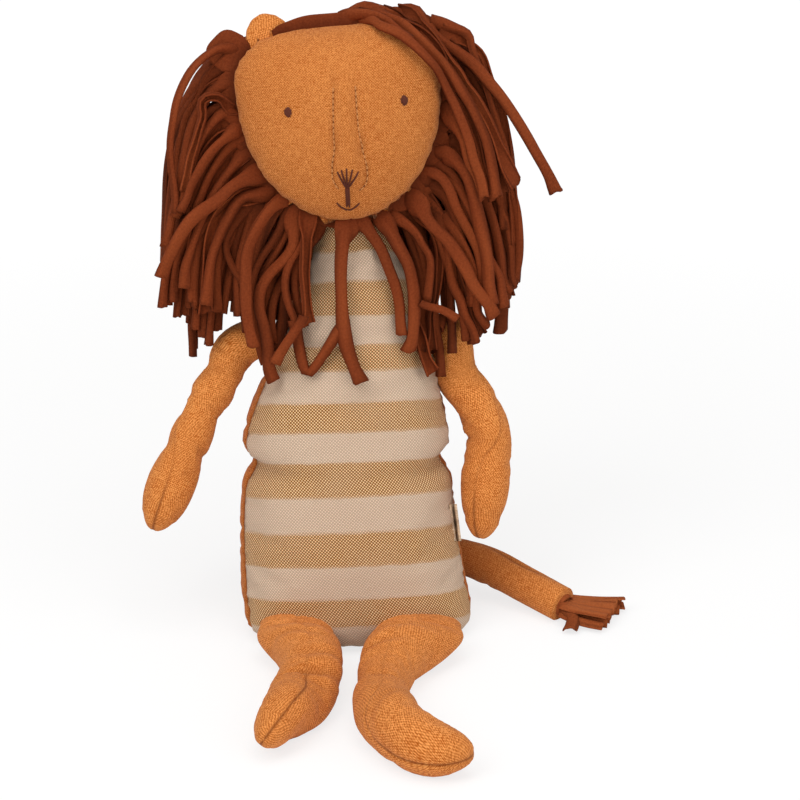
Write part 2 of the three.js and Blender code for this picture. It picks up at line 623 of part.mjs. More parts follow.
Object.entries(arms).forEach(([side, arm]) => {
  const clear = toSolid(solid(body, -seatGap)), half = columnsArm / 2;
  const [first, second] = side === 'right' ? ['outer', 'inner'] : ['inner', 'outer'];
  place(`arm_${side}_${first}_panel`, cut(panel(arm.skin, 0, half, 1), clear), 'ochre');
  place(`arm_${side}_${second}_panel`, cut(panel(arm.skin, half, columnsArm, -1), clear), 'ochre');
  place(`arm_${side}_filling`, cut(solid(arm.skin, cloth + fillGap), clear), 'filling');
});

Object.entries(legs).forEach(([side, leg]) => {
  const half = columnsLeg / 2;
  const [first, second] = side === 'right' ? ['outer', 'inner'] : ['inner', 'outer'];
  place(`leg_${side}_${first}_panel`, panel(leg.skin, 0, half, 1), 'ochre');
  place(`leg_${side}_${second}_panel`, panel(leg.skin, half, columnsLeg, -1), 'ochre');
  place(`leg_${side}_filling`, solid(leg.skin, cloth + fillGap + 0.15), 'filling');
});

place('tail_tube', tailCloth(), 'ochre');
place('tail_filling', solid(tailForm(cloth + fillGap), 0), 'filling');

// Ears: half-round pads in the seam, cut off by the head that they are sewn to.
const headClear = toSolid(solid(headForm(0), -seatGap));

function earForm(degrees) {
  const [u, v] = faceEdge(degrees), [u2, v2] = faceEdge(degrees + 3);
  const o = new THREE.Vector2(v2 - v, -(u2 - u)).normalize();
  const out = headSide.clone().multiplyScalar(o.x).addScaledVector(headUp, o.y);
  const along = headSide.clone().multiplyScalar(-o.y).addScaledVector(headUp, o.x);
  const base = headAt(u, v, -ear.back).addScaledVector(out, -ear.sink);
  const total = ear.height + ear.sink;
  const ring = (h) => {
    const k = Math.sqrt(Math.max(0, 1 - Math.max(0, h / total) ** 2));
    return {
      at: base.clone().addScaledVector(out, h), side: along, front: headFront,
      w: ear.halfWidth * k, d: ear.halfDepth * k ** 0.7, corner: 2, pinch: 0.1,
    };
  };
  const rows = [0, 0.3, 0.55, 0.78, 0.93].map((k) => ring(total * k));
  rows.unshift({ pole: base.clone(), front: headFront });
  rows.push({ pole: base.clone().addScaledVector(out, total), front: headFront });
  return form(rows, 10);
}

const ears = { right: earForm(ear.angle), left: earForm(180 - ear.angle) };
place('ear_right', cut(ears.right, headClear), 'ochre');
place('ear_left', cut(ears.left, headClear), 'ochre');

// Embroidery: raised threads on the face panel, each a strip that follows the cloth.
const onFace = seamGap / 2 + seatGap + stitch.clear + stitch.height / 2;

function thread(from, to, half, count = 3) {
  const points = [], wides = [];
  for (let k = 0; k <= count; k += 1) {
    const t = k / count, u = from[0] + (to[0] - from[0]) * t, v = from[1] + (to[1] - from[1]) * t;
    points.push(facePoint(u, v, onFace));
    wides.push(headSide.clone().multiplyScalar(to[1] - from[1]).addScaledVector(headUp, from[0] - to[0]));
  }
  return sweep(points, wides, half, stitch.height);
}

function joined(parts) {
  return fromSolid(largest(wasm.Manifold.union(parts.map(toSolid)).simplify(0.01)));
}

function eyePad(u) {
  const k = [0.55, 0.9, 1, 0.9, 0.55], n = k.length, points = [], wides = [];
  for (let i = 0; i < n; i += 1) {
    points.push(facePoint(u, eye.v + eye.halfHeight * (1 - (2 * i) / (n - 1)), onFace));
    wides.push(headSide);
  }
  return sweep(points, wides, k.map((x) => x * eye.halfWidth), stitch.height);
}

place('eye_right', eyePad(eye.u - eye.apart / 2), 'thread');
place('eye_left', eyePad(eye.u + eye.apart / 2), 'thread');

const noseTip = [nose.u, nose.v - nose.rise];
const fan = Array.from({ length: nose.stitches }, (_, k) => {
  const x = (k / (nose.stitches - 1) - 0.5) * nose.fan;
  return thread([nose.u + x, nose.v + 1.2 - 0.05 * x * x], noseTip, stitch.half);
});
fan.push(thread([noseTip[0], noseTip[1] + 0.6], [nose.u, noseTip[1] - nose.drop + 0.9], stitch.half));
place('nose_embroidery', joined(fan), 'thread');
const lip = [nose.u, noseTip[1] - nose.drop];
place('mouth_embroidery', joined([
  thread([lip[0] - mouth.half, lip[1] + mouth.lift], [lip[0] + 0.3, lip[1] - 0.1], stitch.half),
  thread([lip[0] - 0.3, lip[1] - 0.1], [lip[0] + mouth.half, lip[1] + mouth.lift], stitch.half),
]), 'thread');

// The point that comes in along a direction until it lies a seat's gap off the body.
function comeIn(p, direction) {
  for (let gap = gapToBody(p); gap > seatGap + 0.01; gap = gapToBody(p)) {
    p.addScaledVector(direction, gap - seatGap);
  }
  return p;
}

// Side label: a tape folded in two, its cut ends sewn down just before the side seam.
function labelTape() {
  const r = label.fold + label.inner / 2, long = label.out - r, shape = new THREE.Shape();
  shape.moveTo(0, r);
  shape.lineTo(long, r);
  shape.absarc(long, 0, r, Math.PI / 2, -Math.PI / 2, true);
  shape.lineTo(0, -r);
  shape.lineTo(0, -label.inner / 2);
  shape.lineTo(long, -label.inner / 2);
  shape.absarc(long, 0, label.inner / 2, -Math.PI / 2, Math.PI / 2, false);
  shape.lineTo(0, label.inner / 2);
  shape.closePath();
  const cutTo = { depth: label.width, bevelEnabled: false, curveSegments: 5 };
  const tape = new THREE.ExtrudeGeometry(shape, cutTo);
  const row = bodyRing(label.z), line = row.at.clone().addScaledVector(row.front, label.before);
  const reach = Math.max(...[-0.5, 0, 0.5].flatMap((k) => [-r, r].map((y) => {
    const far = line.clone().addScaledVector(row.side, row.w + label.out).addScaledVector(row.front, y);
    far.z += k * label.width;
    return comeIn(far, row.side.clone().negate()).sub(line).dot(row.side);
  })));
  tape.translate(0, 0, -label.width / 2);
  tape.rotateZ(rad(bodyYaw));
  const at = line.clone().addScaledVector(row.side, reach);
  tape.translate(at.x, at.y, at.z);
  return merged(tape);
}

place('side_label', labelTape(), 'tape');

// Tuft: jersey wound on the tail's end, cut into strips that fan out over the floor.
function tuftShape(grow) {
  const end = tailLine.getPointAt(1), along = tailLine.getTangentAt(1);
  const flat = V(Math.cos(rad(tuft.heading)), Math.sin(rad(tuft.heading)), 0), across = V(-flat.y, flat.x, 0);
  const r = tail.tipRadius + 0.2, parts = [];
  const collar = [0, 0.35, 1].map((k) => ({
    at: end.clone().addScaledVector(along, seatGap + tuft.collar * k), side: V(0, 0, 1), front: across,
    w: (r - 2.4 * k) + grow, d: (r - 0.6 * k) + grow, corner: 2, pinch: 0, floor: 0,
  }));
  collar.unshift({ pole: collar[0].at.clone(), front: across });
  collar.push({ pole: collar[collar.length - 1].at.clone(), front: across });
  parts.push(solid(form(collar, 10), 0));
  for (let k = 0; k < tuft.strips; k += 1) {
    const t = k / (tuft.strips - 1) - 0.5, turn = rad(-2 * tuft.spread * t);
    const dir = flat.clone().applyAxisAngle(V(0, 0, 1), turn);
    const layer = k % 3, length = tuft.length * (1 + 0.16 * wander(k, 2));
    const points = [], wides = [];
    for (let i = 0; i <= 4; i += 1) {
      const s = (i / 4) * length, p = end.clone().addScaledVector(along, 3);
      p.addScaledVector(across, -t * r).addScaledVector(dir, s);
      const low = tuft.thick / 2 + 0.1 + layer * 1.7;
      p.z = low + (tail.tipRadius + 1.6 * (layer - 1) - low) * Math.exp(-s / 9);
      points.push(p);
      wides.push(dir.clone().cross(V(0, 0, 1)));
    }
    parts.push(sweep(points, wides, tuft.half + grow, tuft.thick + 2 * grow));
  }
  return wasm.Manifold.union(parts.map(toSolid));
}

place('tail_tuft', cut(fromSolid(tuftShape(0)), toSolid(solid(tailForm(0), -seatGap))), 'mane');

// The mane: each row is laid after the ones below it and keeps clear of them.
const clearOf = (forms) => wasm.Manifold.union(forms.map((f) => toSolid(solid(f, -seatGap))));
const carried = clearOf([body, arms.right.skin, arms.left.skin, ears.right, ears.left]).add(headClear);
let taken = carried;
Object.entries(maneRows).sort((a, b) => a[1].layer - b[1].layer).forEach(([name, row], seed) => {
  const jersey = largest(maneRow(row, seed, 0).subtract(taken).simplify(0.05));
  place(name, parted(fromSolid(jersey)), 'mane');
  taken = taken.add(maneRow(row, seed, seatGap));
});

export default lion;
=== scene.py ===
# Sitting plush lion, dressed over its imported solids. Lengths are in millimetres until a mesh is made.
import json
import math

import bmesh
import bpy
import numpy as np
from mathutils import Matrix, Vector
from mathutils.bvhtree import BVHTree


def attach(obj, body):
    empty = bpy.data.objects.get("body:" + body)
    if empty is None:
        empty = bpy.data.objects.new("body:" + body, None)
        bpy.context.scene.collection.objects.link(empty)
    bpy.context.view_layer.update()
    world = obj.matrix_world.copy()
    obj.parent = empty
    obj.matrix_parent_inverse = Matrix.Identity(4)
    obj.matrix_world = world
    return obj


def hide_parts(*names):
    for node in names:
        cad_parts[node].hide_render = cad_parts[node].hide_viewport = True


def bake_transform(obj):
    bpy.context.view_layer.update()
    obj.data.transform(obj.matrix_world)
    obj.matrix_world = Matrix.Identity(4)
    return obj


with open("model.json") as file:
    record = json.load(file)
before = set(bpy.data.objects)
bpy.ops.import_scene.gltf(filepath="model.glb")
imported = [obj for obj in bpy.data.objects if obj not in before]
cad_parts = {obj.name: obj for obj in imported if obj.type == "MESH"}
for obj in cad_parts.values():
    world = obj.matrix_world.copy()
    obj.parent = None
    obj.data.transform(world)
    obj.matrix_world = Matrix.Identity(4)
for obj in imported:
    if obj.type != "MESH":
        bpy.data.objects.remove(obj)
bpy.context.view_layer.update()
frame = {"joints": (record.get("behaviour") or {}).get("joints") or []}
jointAt = {j["name"]: np.array(j["pos_m"]) * 1000 for j in frame["joints"]}
print("frame loaded")


# small tools

def unit(v):
    return v / np.maximum(np.linalg.norm(v, axis=-1, keepdims=True), 1e-9)


def wander(a, b=0.0):
    # an even scatter of numbers from -1 to 1, the same each run
    s = np.sin(np.asarray(a) * 12.9898 + np.asarray(b) * 78.233 + 1.3) * 43758.5453
    return 2 * (s - np.floor(s)) - 1


def readTable(table, key, column=1):
    # a smooth cubic through the rows of a table, level beyond its ends
    t = np.asarray(table, float)
    x, y = t[:, 0], t[:, column]
    slope = np.empty_like(y)
    slope[1:-1] = (y[2:] - y[:-2]) / (x[2:] - x[:-2])
    slope[0], slope[-1] = (y[1] - y[0]) / (x[1] - x[0]), (y[-1] - y[-2]) / (x[-1] - x[-2])
    k = np.clip(key, x[0], x[-1])
    i = np.clip(np.searchsorted(x, k, side="right") - 1, 0, len(x) - 2)
    h = x[i + 1] - x[i]
    u = (k - x[i]) / h
    return (y[i] * (1 + 2 * u) * (1 - u) ** 2 + slope[i] * h * u * (1 - u) ** 2
            + y[i + 1] * u * u * (3 - 2 * u) + slope[i + 1] * h * u * u * (u - 1))


def runAlong(line):
    # how far along a line each of its points lies
    return np.r_[0, np.cumsum(np.linalg.norm(np.diff(line, axis=0), axis=1))]


def smoothLine(points, count):
    # a centripetal curve through the points: on each span a cubic whose end slopes come from the
    # neighbouring spans, each weighed by the square root of its length; then evenly spaced by length
    p = np.asarray(points, float)
    p = np.vstack([2 * p[0] - p[1], p, 2 * p[-1] - p[-2]])
    d = np.sqrt(np.maximum(np.linalg.norm(np.diff(p, axis=0), axis=1), 1e-6))[:, None]
    step = np.diff(p, axis=0)
    cross = (p[2:] - p[:-2]) / (d[:-1] + d[1:])
    slopes = step[:-1] / d[:-1] - cross + step[1:] / d[1:]
    a, b = slopes[:-1] * d[1:-1], slopes[1:] * d[1:-1]
    t = np.linspace(0, 1, 24, endpoint=False)[None, :, None]
    x1, x2, a, b = p[1:-2, None], p[2:-1, None], a[:, None], b[:, None]
    fine = x1 + a * t + (-3 * x1 + 3 * x2 - 2 * a - b) * t ** 2 + (2 * x1 - 2 * x2 + a + b) * t ** 3
    fine = np.vstack([fine.reshape(-1, p.shape[1]), p[-2]])
    run = runAlong(fine)
    even = np.linspace(0, run[-1], count)
    return np.stack([np.interp(even, run, fine[:, k]) for k in range(p.shape[1])], 1), run[-1]


def evenAt(line, s):
    # the point at a share s of an evenly spaced line
    x = np.linspace(0, 1, len(line))
    return np.stack([np.interp(s, x, line[:, k]) for k in range(line.shape[1])], -1)


def rings(centre, side, front, across, deep, corner, pinch, angle):
    # rounded rings: along side the cosine, along front the sine, each raised to 2 / corner, and the
    # sine a little more, which draws the ring in sharply to its two seams
    c, s = np.cos(angle)[None], np.sin(angle)[None]
    side, front = (np.broadcast_to(k, centre.shape)[:, None] for k in (side, front))
    corner, pinch = (np.broadcast_to(k, across.shape)[:, None] for k in (corner, pinch))
    a = np.sign(c) * np.abs(c) ** (2 / corner) * across[:, None]
    b = np.sign(s) * np.abs(s) ** (2 / corner + pinch) * deep[:, None]
    return centre[:, None] + side * a[..., None] + front * b[..., None]


def gridNormals(p):
    # outward normals of a grid closed along its columns, from its central differences
    down = np.gradient(p, axis=0)
    over = np.roll(p, -1, axis=1) - np.roll(p, 1, axis=1)
    n = np.cross(down, over)
    away = (p - p.mean(axis=1, keepdims=True)).reshape(-1, 3)
    return unit(n) * np.sign(np.sum(n.reshape(-1, 3) * away))


def spread(field, times):
    # evens out a grid field: each value becomes a quarter, half, quarter mean, along both ways
    for _ in range(times):
        field = (np.roll(field, 1, axis=1) + 2 * field + np.roll(field, -1, axis=1)) / 4
        pad = np.concatenate([field[:1], field, field[-1:]])
        field = (pad[:-2] + 2 * pad[1:-1] + pad[2:]) / 4
    return field


def gridFaces(rows, cols, wrap, start=0):
    # the quads of a grid; wrap closes it along its columns
    i, j = np.meshgrid(np.arange(rows - 1), np.arange(cols if wrap else cols - 1), indexing="ij")
    a, b = i * cols + j, i * cols + (j + 1) % cols
    return start + np.stack([a, b, b + cols, a + cols], -1).reshape(-1, 4)


def meshOf(name, points, faces, uv=None, shade=None):
    # one object from arrays: points in mm, faces of 3 or 4 corners, uv per point in mm of cloth
    mesh = bpy.data.meshes.new(name)
    corners = np.concatenate([np.ravel(f) for f in faces]).astype(np.int32)
    sizes = np.concatenate([np.full(len(f), f.shape[1]) for f in faces if len(f)]).astype(np.int32)
    mesh.vertices.add(len(points))
    mesh.vertices.foreach_set("co", (points * 0.001).astype(np.float32).ravel())
    mesh.loops.add(len(corners))
    mesh.loops.foreach_set("vertex_index", corners)
    mesh.polygons.add(len(sizes))
    mesh.polygons.foreach_set("loop_start", np.r_[0, np.cumsum(sizes)[:-1]].astype(np.int32))
    mesh.polygons.foreach_set("loop_total", sizes)
    mesh.update(calc_edges=True)
    mesh.polygons.foreach_set("use_smooth", np.ones(len(sizes), bool))
    if uv is not None:
        layer = mesh.uv_layers.new(name="cloth")
        layer.data.foreach_set("uv", (uv[corners] * 0.001).astype(np.float32).ravel())
    # shade is kept as each point's painted light: above nothing it is painted shade, below nothing painted
    # highlight
    if shade is not None:
        mark = mesh.attributes.new("wear", "FLOAT", "POINT")
        mark.data.foreach_set("value", shade.astype(np.float32))
    mesh.validate()
    thing = bpy.data.objects.new(name, mesh)
    bpy.context.scene.collection.objects.link(thing)
    return thing


def clothRun(p, middle):
    # how far each grid point lies round its ring from the middle column, and down from the first row
    over = np.linalg.norm(np.diff(p, axis=1), axis=2)
    across = np.concatenate([np.zeros((len(p), 1)), np.cumsum(over, axis=1)], axis=1)
    down = runAlong(p[:, middle])
    return across - across[:, middle:middle + 1], np.broadcast_to(down[:, None], across.shape)


def outward(points, faces):
    # turns all faces round if together they enclose less than nothing
    a, b, c = (points[faces[:, k]] for k in range(3))
    d = points[faces[:, -1]]
    bulk = np.sum(a * np.cross(b, c)) + (np.sum(a * np.cross(c, d)) if faces.shape[1] == 4 else 0)
    return faces if bulk > 0 else faces[:, ::-1]


def capFaces(rows, cols, wrap):
    # fans of triangles that close both ends of a grid, on the two points that follow the grid's own
    j = np.arange(cols if wrap else cols - 1)
    k, base, tip = (j + 1) % cols, (rows - 1) * cols, np.full(len(j), rows * cols)
    return np.stack([tip, k, j], -1), np.stack([tip + 1, base + j, base + k], -1)


def shellFaces(points, rows, cols, wrap):
    # the faces of a grid and of its two caps, all turned outwards
    quads, caps = gridFaces(rows, cols, wrap), capFaces(rows, cols, wrap)
    turned = outward(points, quads)
    return [quads, *caps] if turned is quads else [turned] + [f[:, ::-1] for f in caps]


def endedMap(across, down):
    # the cloth's own map for a grid and for the two points that close its ends
    return np.vstack([np.stack([across, down], -1).reshape(-1, 2), [[0, -2], [0, down.max() + 2]]])


def closedForm(name, p, shade=None):
    # a closed stuffed form: the grid wraps round, and each end closes on one point. The first column
    # is made twice, so that the cloth's own map is not torn there, and merged; the map stays
    rows, cols = p.shape[:2]
    q = np.concatenate([p, p[:, :1]], axis=1)
    points = np.vstack([q.reshape(-1, 3), p[0].mean(0), p[-1].mean(0)])
    if shade is not None:
        doubled = np.concatenate([shade, shade[:, :1]], axis=1)
        shade = np.r_[doubled.ravel(), shade[0].mean(), shade[-1].mean()]
    faces = shellFaces(points, rows, cols + 1, False)
    thing = meshOf(name, points, faces, endedMap(*clothRun(q, cols // 2)), shade)
    b = bmesh.new()
    b.from_mesh(thing.data)
    bmesh.ops.remove_doubles(b, verts=b.verts, dist=1e-7)
    b.to_mesh(thing.data)
    b.free()
    return thing


# cloth panels: their thickness, and how far the edge turns in past the seam and rounds over before it
panel = {"thick": 0.9, "turnedIn": 0.5, "rounded": 0.12}


def halfForm(name, p, normals, front, tuck, shade, slip=None):
    # one panel of a form sewn from two: half of the columns, its edges turned in along the seam,
    # then given the cloth's thickness inward. slip shifts the cloth's own map along its length
    cols = p.shape[1]
    pick = np.arange(cols // 2 + 1) if front else np.r_[np.arange(cols // 2, cols), 0]
    edged = lambda k: np.concatenate([k[:, :1], k, k[:, -1:]], axis=1)
    q, n = p[:, pick], normals[:, pick]
    grid = edged(q)
    for k, way in ((0, unit(q[:, 3] - q[:, 0])), (-1, unit(q[:, -4] - q[:, -1]))):
        grid[:, k] = q[:, k] - n[:, k] * tuck + way * panel["turnedIn"]
        grid[:, 1 if k == 0 else -2] += way * panel["rounded"]
    rows, width = grid.shape[:2]
    across, down = clothRun(grid, width // 2)
    if slip is not None:
        down = down + edged(slip[:, pick])
    points = np.vstack([grid.reshape(-1, 3), p[0].mean(0), p[-1].mean(0)])
    faces = [gridFaces(rows, width, False), *capFaces(rows, width, False)]
    a, b, c = (points[faces[0][:, k]] for k in (0, 1, 3))
    if np.sum(np.cross(b - a, c - a) * edged(n)[:-1, :-1].reshape(-1, 3)) < 0:
        faces = [f[:, ::-1] for f in faces]
    thing = meshOf(name, points, faces, endedMap(across, down), np.r_[edged(shade[:, pick]).ravel(), 0, 0])
    wall = thing.modifiers.new("wall", "SOLIDIFY")
    wall.thickness, wall.offset = panel["thick"] * 0.001, -1
    return thing


def rayTree(p):
    # a form's surface, for finding what lies before a line of sight or nearest to a point
    flat = p.reshape(-1, 3)
    faces = outward(flat - flat.mean(0), gridFaces(*p.shape[:2], True))
    return BVHTree.FromPolygons(flat.tolist(), faces.tolist())


# cloth simulation of a stuffed form, made at ten times its size
simulation = {"scale": 10, "pressure": 4.0, "extra": 0.035, "frames": 20, "quality": 5, "mass": 0.3,
              "stretch": 14, "shear": 5, "bend": 0.35, "evened": 14}


def stuff(name, p, swell, crumple, pins, floor=None):
    # the cloth is blown up from inside with its seams held. Of what it moves, the slow swelling and
    # the small folds are each capped
    rows, cols = p.shape[:2]
    points = np.vstack([p.reshape(-1, 3), p[0].mean(0), p[-1].mean(0)])
    thing = meshOf(name + "_sim", points * simulation["scale"], shellFaces(points, rows, cols, True))
    held = np.zeros((rows, cols), bool)
    held[:, [0, cols // 2]] = held[:pins] = held[-pins:] = True
    group = thing.vertex_groups.new(name="held")
    group.add(np.flatnonzero(held).tolist() + [rows * cols, rows * cols + 1], 1.0, "REPLACE")
    cloth = thing.modifiers.new("stuffing", "CLOTH")
    s = cloth.settings
    s.quality, s.mass = simulation["quality"], simulation["mass"]
    s.tension_stiffness = s.compression_stiffness = simulation["stretch"]
    s.shear_stiffness, s.bending_stiffness = simulation["shear"], simulation["bend"]
    s.use_pressure, s.uniform_pressure_force = True, simulation["pressure"]
    s.effector_weights.gravity = 0
    s.vertex_group_mass = "held"
    s.shrink_min = -simulation["extra"]
    cloth.collision_settings.use_collision = False
    cloth.point_cache.frame_start, cloth.point_cache.frame_end = 1, simulation["frames"]
    for f in range(1, simulation["frames"] + 1):
        bpy.context.scene.frame_set(f)
    seen = thing.evaluated_get(bpy.context.evaluated_depsgraph_get()).to_mesh()
    co = np.empty(len(points) * 3, np.float32)
    seen.vertices.foreach_get("co", co)
    moved = co[:p.size].reshape(p.shape) * (1000 / simulation["scale"]) - p
    bpy.context.scene.frame_set(1)
    bpy.data.objects.remove(thing)
    slow = spread(moved, simulation["evened"])
    fine = moved - slow
    much = np.linalg.norm(slow, axis=2, keepdims=True)
    small = np.linalg.norm(fine, axis=2, keepdims=True)
    print(f"  {name}: swells {much.max():.1f}, folds {small.max():.2f} mm")
    result = p + slow * np.minimum(1, swell / np.maximum(much, 1e-6)) \
        + fine * np.minimum(1, crumple / np.maximum(small, 1e-6))
    if floor is not None:
        result[..., 2] = np.maximum(result[..., 2], floor)
    return result


def seamArc(p):
    # each grid point's way round its ring to the nearer of the two seams, and its place along them
    over = np.linalg.norm(np.roll(p, -1, axis=1) - p, axis=2)
    whole = np.cumsum(over, axis=1)
    run = np.concatenate([np.zeros((len(p), 1)), whole[:, :-1]], axis=1)
    half = run[:, [p.shape[1] // 2]]
    to = np.minimum(np.minimum(run, np.abs(run - half)), whole[:, -1:] - run)
    return to, runAlong(p[:, 0])


def seams(p, normals, seed, groove=0.5, pucker=0.35, period=4.6, reach=6.5):
    # a seam pulls the cloth in, and small folds stand across it: a sine along the seam whose phase
    # wanders, fading with the distance from it
    to, along = seamArc(p)
    column, quarter = np.arange(p.shape[1]), p.shape[1] // 4
    left = (column < quarter) | (column > 3 * p.shape[1] // 4)
    phase = 2 * np.pi * along / period + 1.3 * np.sin(along / 9 + seed) + 0.9 * np.sin(along / 3.7 + 2 * seed)
    other = 2 * np.pi * along / (period * 1.07) + 1.2 * np.sin(along / 7.3 - seed)
    wave = np.where(left[None], np.sin(phase)[:, None], np.sin(other)[:, None])
    size = 0.6 + 0.4 * np.sin(along / 11 + 3 * seed)[:, None]
    fade = np.exp(-to / reach) * (1 - 0.7 * np.exp(-(to / 1.2) ** 2))
    move = pucker * size * wave * fade - groove * np.exp(-(to / 1.6) ** 2)
    return p + normals * move[..., None]


def creaseShape(k, along, angle):
    # a crease's strength round the ring, a bell about one side, and how many of its widths each grid
    # point lies from it along the form, where it is tilted by a sine
    turn = angle[None] - math.radians(k["round"])
    away = (along[:, None] - k["at"] - k["tilt"] * np.sin(turn)) / k["wide"]
    return np.exp((np.cos(turn) - 1) / k["spread"]), away


def folds(p, normals, along, angle, creases):
    # each fold is a dip across the form at a height along it, tilted and bounded round the ring,
    # with the cloth bulging on either side of the dip
    move = np.zeros(p.shape[:2])
    for k in creases:
        near, away = creaseShape(k, along, angle)
        move += near * k["depth"] * (0.42 * np.exp(-((np.abs(away) - 2.3) / 1.5) ** 2) - np.exp(-away ** 2))
    return p + normals * move[..., None]


# finishes
def newMaterial(name, rough, spec=0.25, sheen=0.0, sheenRough=0.5):
    m = bpy.data.materials.new(name)
    m.use_nodes = True
    tree = m.node_tree
    shader = tree.nodes["Principled BSDF"]
    shader.inputs["Roughness"].default_value = rough
    shader.inputs["Specular IOR Level"].default_value = spec
    shader.inputs["Sheen Weight"].default_value = sheen
    shader.inputs["Sheen Roughness"].default_value = sheenRough
    return m, tree, shader


def node(tree, kind, label="", **values):
    n = tree.nodes.new(kind)
    n.label = label
    for key, value in values.items():
        setattr(n, key, value)
    return n


def feed(tree, socket, value):
    # a plain value is set on the socket, and anything else is linked to it
    if isinstance(value, (int, float, tuple)):
        socket.default_value = value
    else:
        tree.links.new(value, socket)


def math2(tree, how, *values):
    n = node(tree, "ShaderNodeMath", operation=how)
    for socket, value in zip(n.inputs, values):
        feed(tree, socket, value)
    return n.outputs[0]


def swung(tree, value, gain, base):
    # how far a value between 0 and 1 lies from its middle, times a gain, on top of a base
    return math2(tree, "MULTIPLY_ADD", math2(tree, "SUBTRACT", value, 0.5), gain, base)


def linear(rgb):
    # a colour of 0 to 255 in each channel, as light
    c = np.array(rgb) / 255
    c = np.where(c <= 0.04045, c / 12.92, ((c + 0.055) / 1.055) ** 2.4)
    return (*[float(x) for x in c], 1.0)


def blendColour(tree, share, a, b):
    n = node(tree, "ShaderNodeMix", data_type="RGBA", clamp_factor=True)
    for socket, value in ((n.inputs[0], share), (n.inputs[6], a), (n.inputs[7], b)):
        feed(tree, socket, value)
    return n.outputs[2]


def clothMap(tree):
    return node(tree, "ShaderNodeUVMap", uv_map="cloth").outputs[0]


def turnedMap(tree, vector, degrees):
    turn = node(tree, "ShaderNodeMapping")
    turn.inputs["Rotation"].default_value = (0, 0, math.radians(degrees))
    tree.links.new(vector, turn.inputs["Vector"])
    return turn.outputs[0]


def splitUp(tree, vector):
    n = node(tree, "ShaderNodeSeparateXYZ")
    tree.links.new(vector, n.inputs[0])
    return n.outputs


# each point's painted light and shade, kept on its mesh
def paintedLightOf(tree):
    return node(tree, "ShaderNodeAttribute", attribute_name="wear").outputs["Fac"]


def cloud(tree, vector, scale, detail=2.0, stretch=None):
    # soft noise, drawn out along one way where it is stretched
    if stretch:
        place = node(tree, "ShaderNodeMapping")
        place.inputs["Scale"].default_value = stretch
        tree.links.new(vector, place.inputs["Vector"])
        vector = place.outputs[0]
    n = node(tree, "ShaderNodeTexNoise", noise_dimensions="3D")
    n.inputs["Scale"].default_value = scale
    n.inputs["Detail"].default_value = detail
    tree.links.new(vector, n.inputs["Vector"])
    return n.outputs["Fac"]


def waves(tree, uv, rate):
    # a sine across the cloth and one down it
    return [math2(tree, "SINE", math2(tree, "MULTIPLY", k, rate)) for k in splitUp(tree, uv)[:2]]


def threads(tree, uv, pitch):
    # a plain weave: two sets of rounded threads, and which set lies on top changes like a chequer
    across, down = waves(tree, uv, math.pi / pitch)
    return (math2(tree, "MULTIPLY", across, down), math2(tree, "ABSOLUTE", across),
            math2(tree, "ABSOLUTE", down))


def bumped(tree, shader, height, strength, distance):
    b = node(tree, "ShaderNodeBump")
    b.inputs["Strength"].default_value = strength
    b.inputs["Distance"].default_value = distance
    tree.links.new(height, b.inputs["Height"])
    tree.links.new(b.outputs[0], shader.inputs["Normal"])


# what all woven cloth has: rough, hardly any shine, a slight sheen, and its threads' height in metres
woven = {"finish": (0.93, 0.1, 0.06, 0.45), "bump": 0.6, "height": 0.0004, "pitch": 0.00056,
         "stripedPitch": 0.00068, "stripedLean": 3}


def linen(name, light, mid, deep, pitch=woven["pitch"]):
    # slubby linen: two near shades of thread over each other, thicker threads here and there,
    # slow changes of tone, and painted shade towards the deep colour where the painted light is set
    m, tree, shader = newMaterial(name, *woven["finish"])
    uv = clothMap(tree)
    over, warp, weft = threads(tree, uv, pitch)
    slubs = [cloud(tree, uv, 1.0, 2.0, stretch) for stretch in ((240, 2400, 1), (2400, 240, 1))]
    weave = math2(tree, "MULTIPLY_ADD", over, 0.5, 0.5)
    both = math2(tree, "ADD", math2(tree, "MULTIPLY", weave, slubs[0]),
                 math2(tree, "MULTIPLY", math2(tree, "SUBTRACT", 1.0, weave), slubs[1]))
    speck = swung(tree, cloud(tree, uv, 1500.0, 1.0), 1.9, swung(tree, both, 2.4, 0.5))
    speck = math2(tree, "MULTIPLY_ADD", over, 0.5, speck)
    share = swung(tree, cloud(tree, uv, 24.0, 2.0), 0.5, speck)
    tone = blendColour(tree, share, linear(mid), linear(light))
    # painted shade: the cloth goes towards the deep colour by the painted light
    tree.links.new(blendColour(tree, paintedLightOf(tree), tone, linear(deep)), shader.inputs["Base Color"])
    height = math2(tree, "ADD", math2(tree, "MULTIPLY", math2(tree, "MAXIMUM", warp, weft), 0.6), both)
    bumped(tree, shader, height, woven["bump"], woven["height"])
    return m


# heights of the stripes' edges down the front of the belly, and their colours
stripeEdges = [164.6, 152.3, 138.6, 126.8, 117, 104.8, 93.2, 81.2, 67.1, 52.8, 38.8, 25.2, 14.1, -0.6]
stripes = {"mustard": (134, 78, 12), "warp": (246, 208, 158), "cream": (229, 204, 178),
           "natural": (186, 160, 139), "gap": (104, 72, 50), "deep": (124, 80, 48), "softEdge": 0.0022}


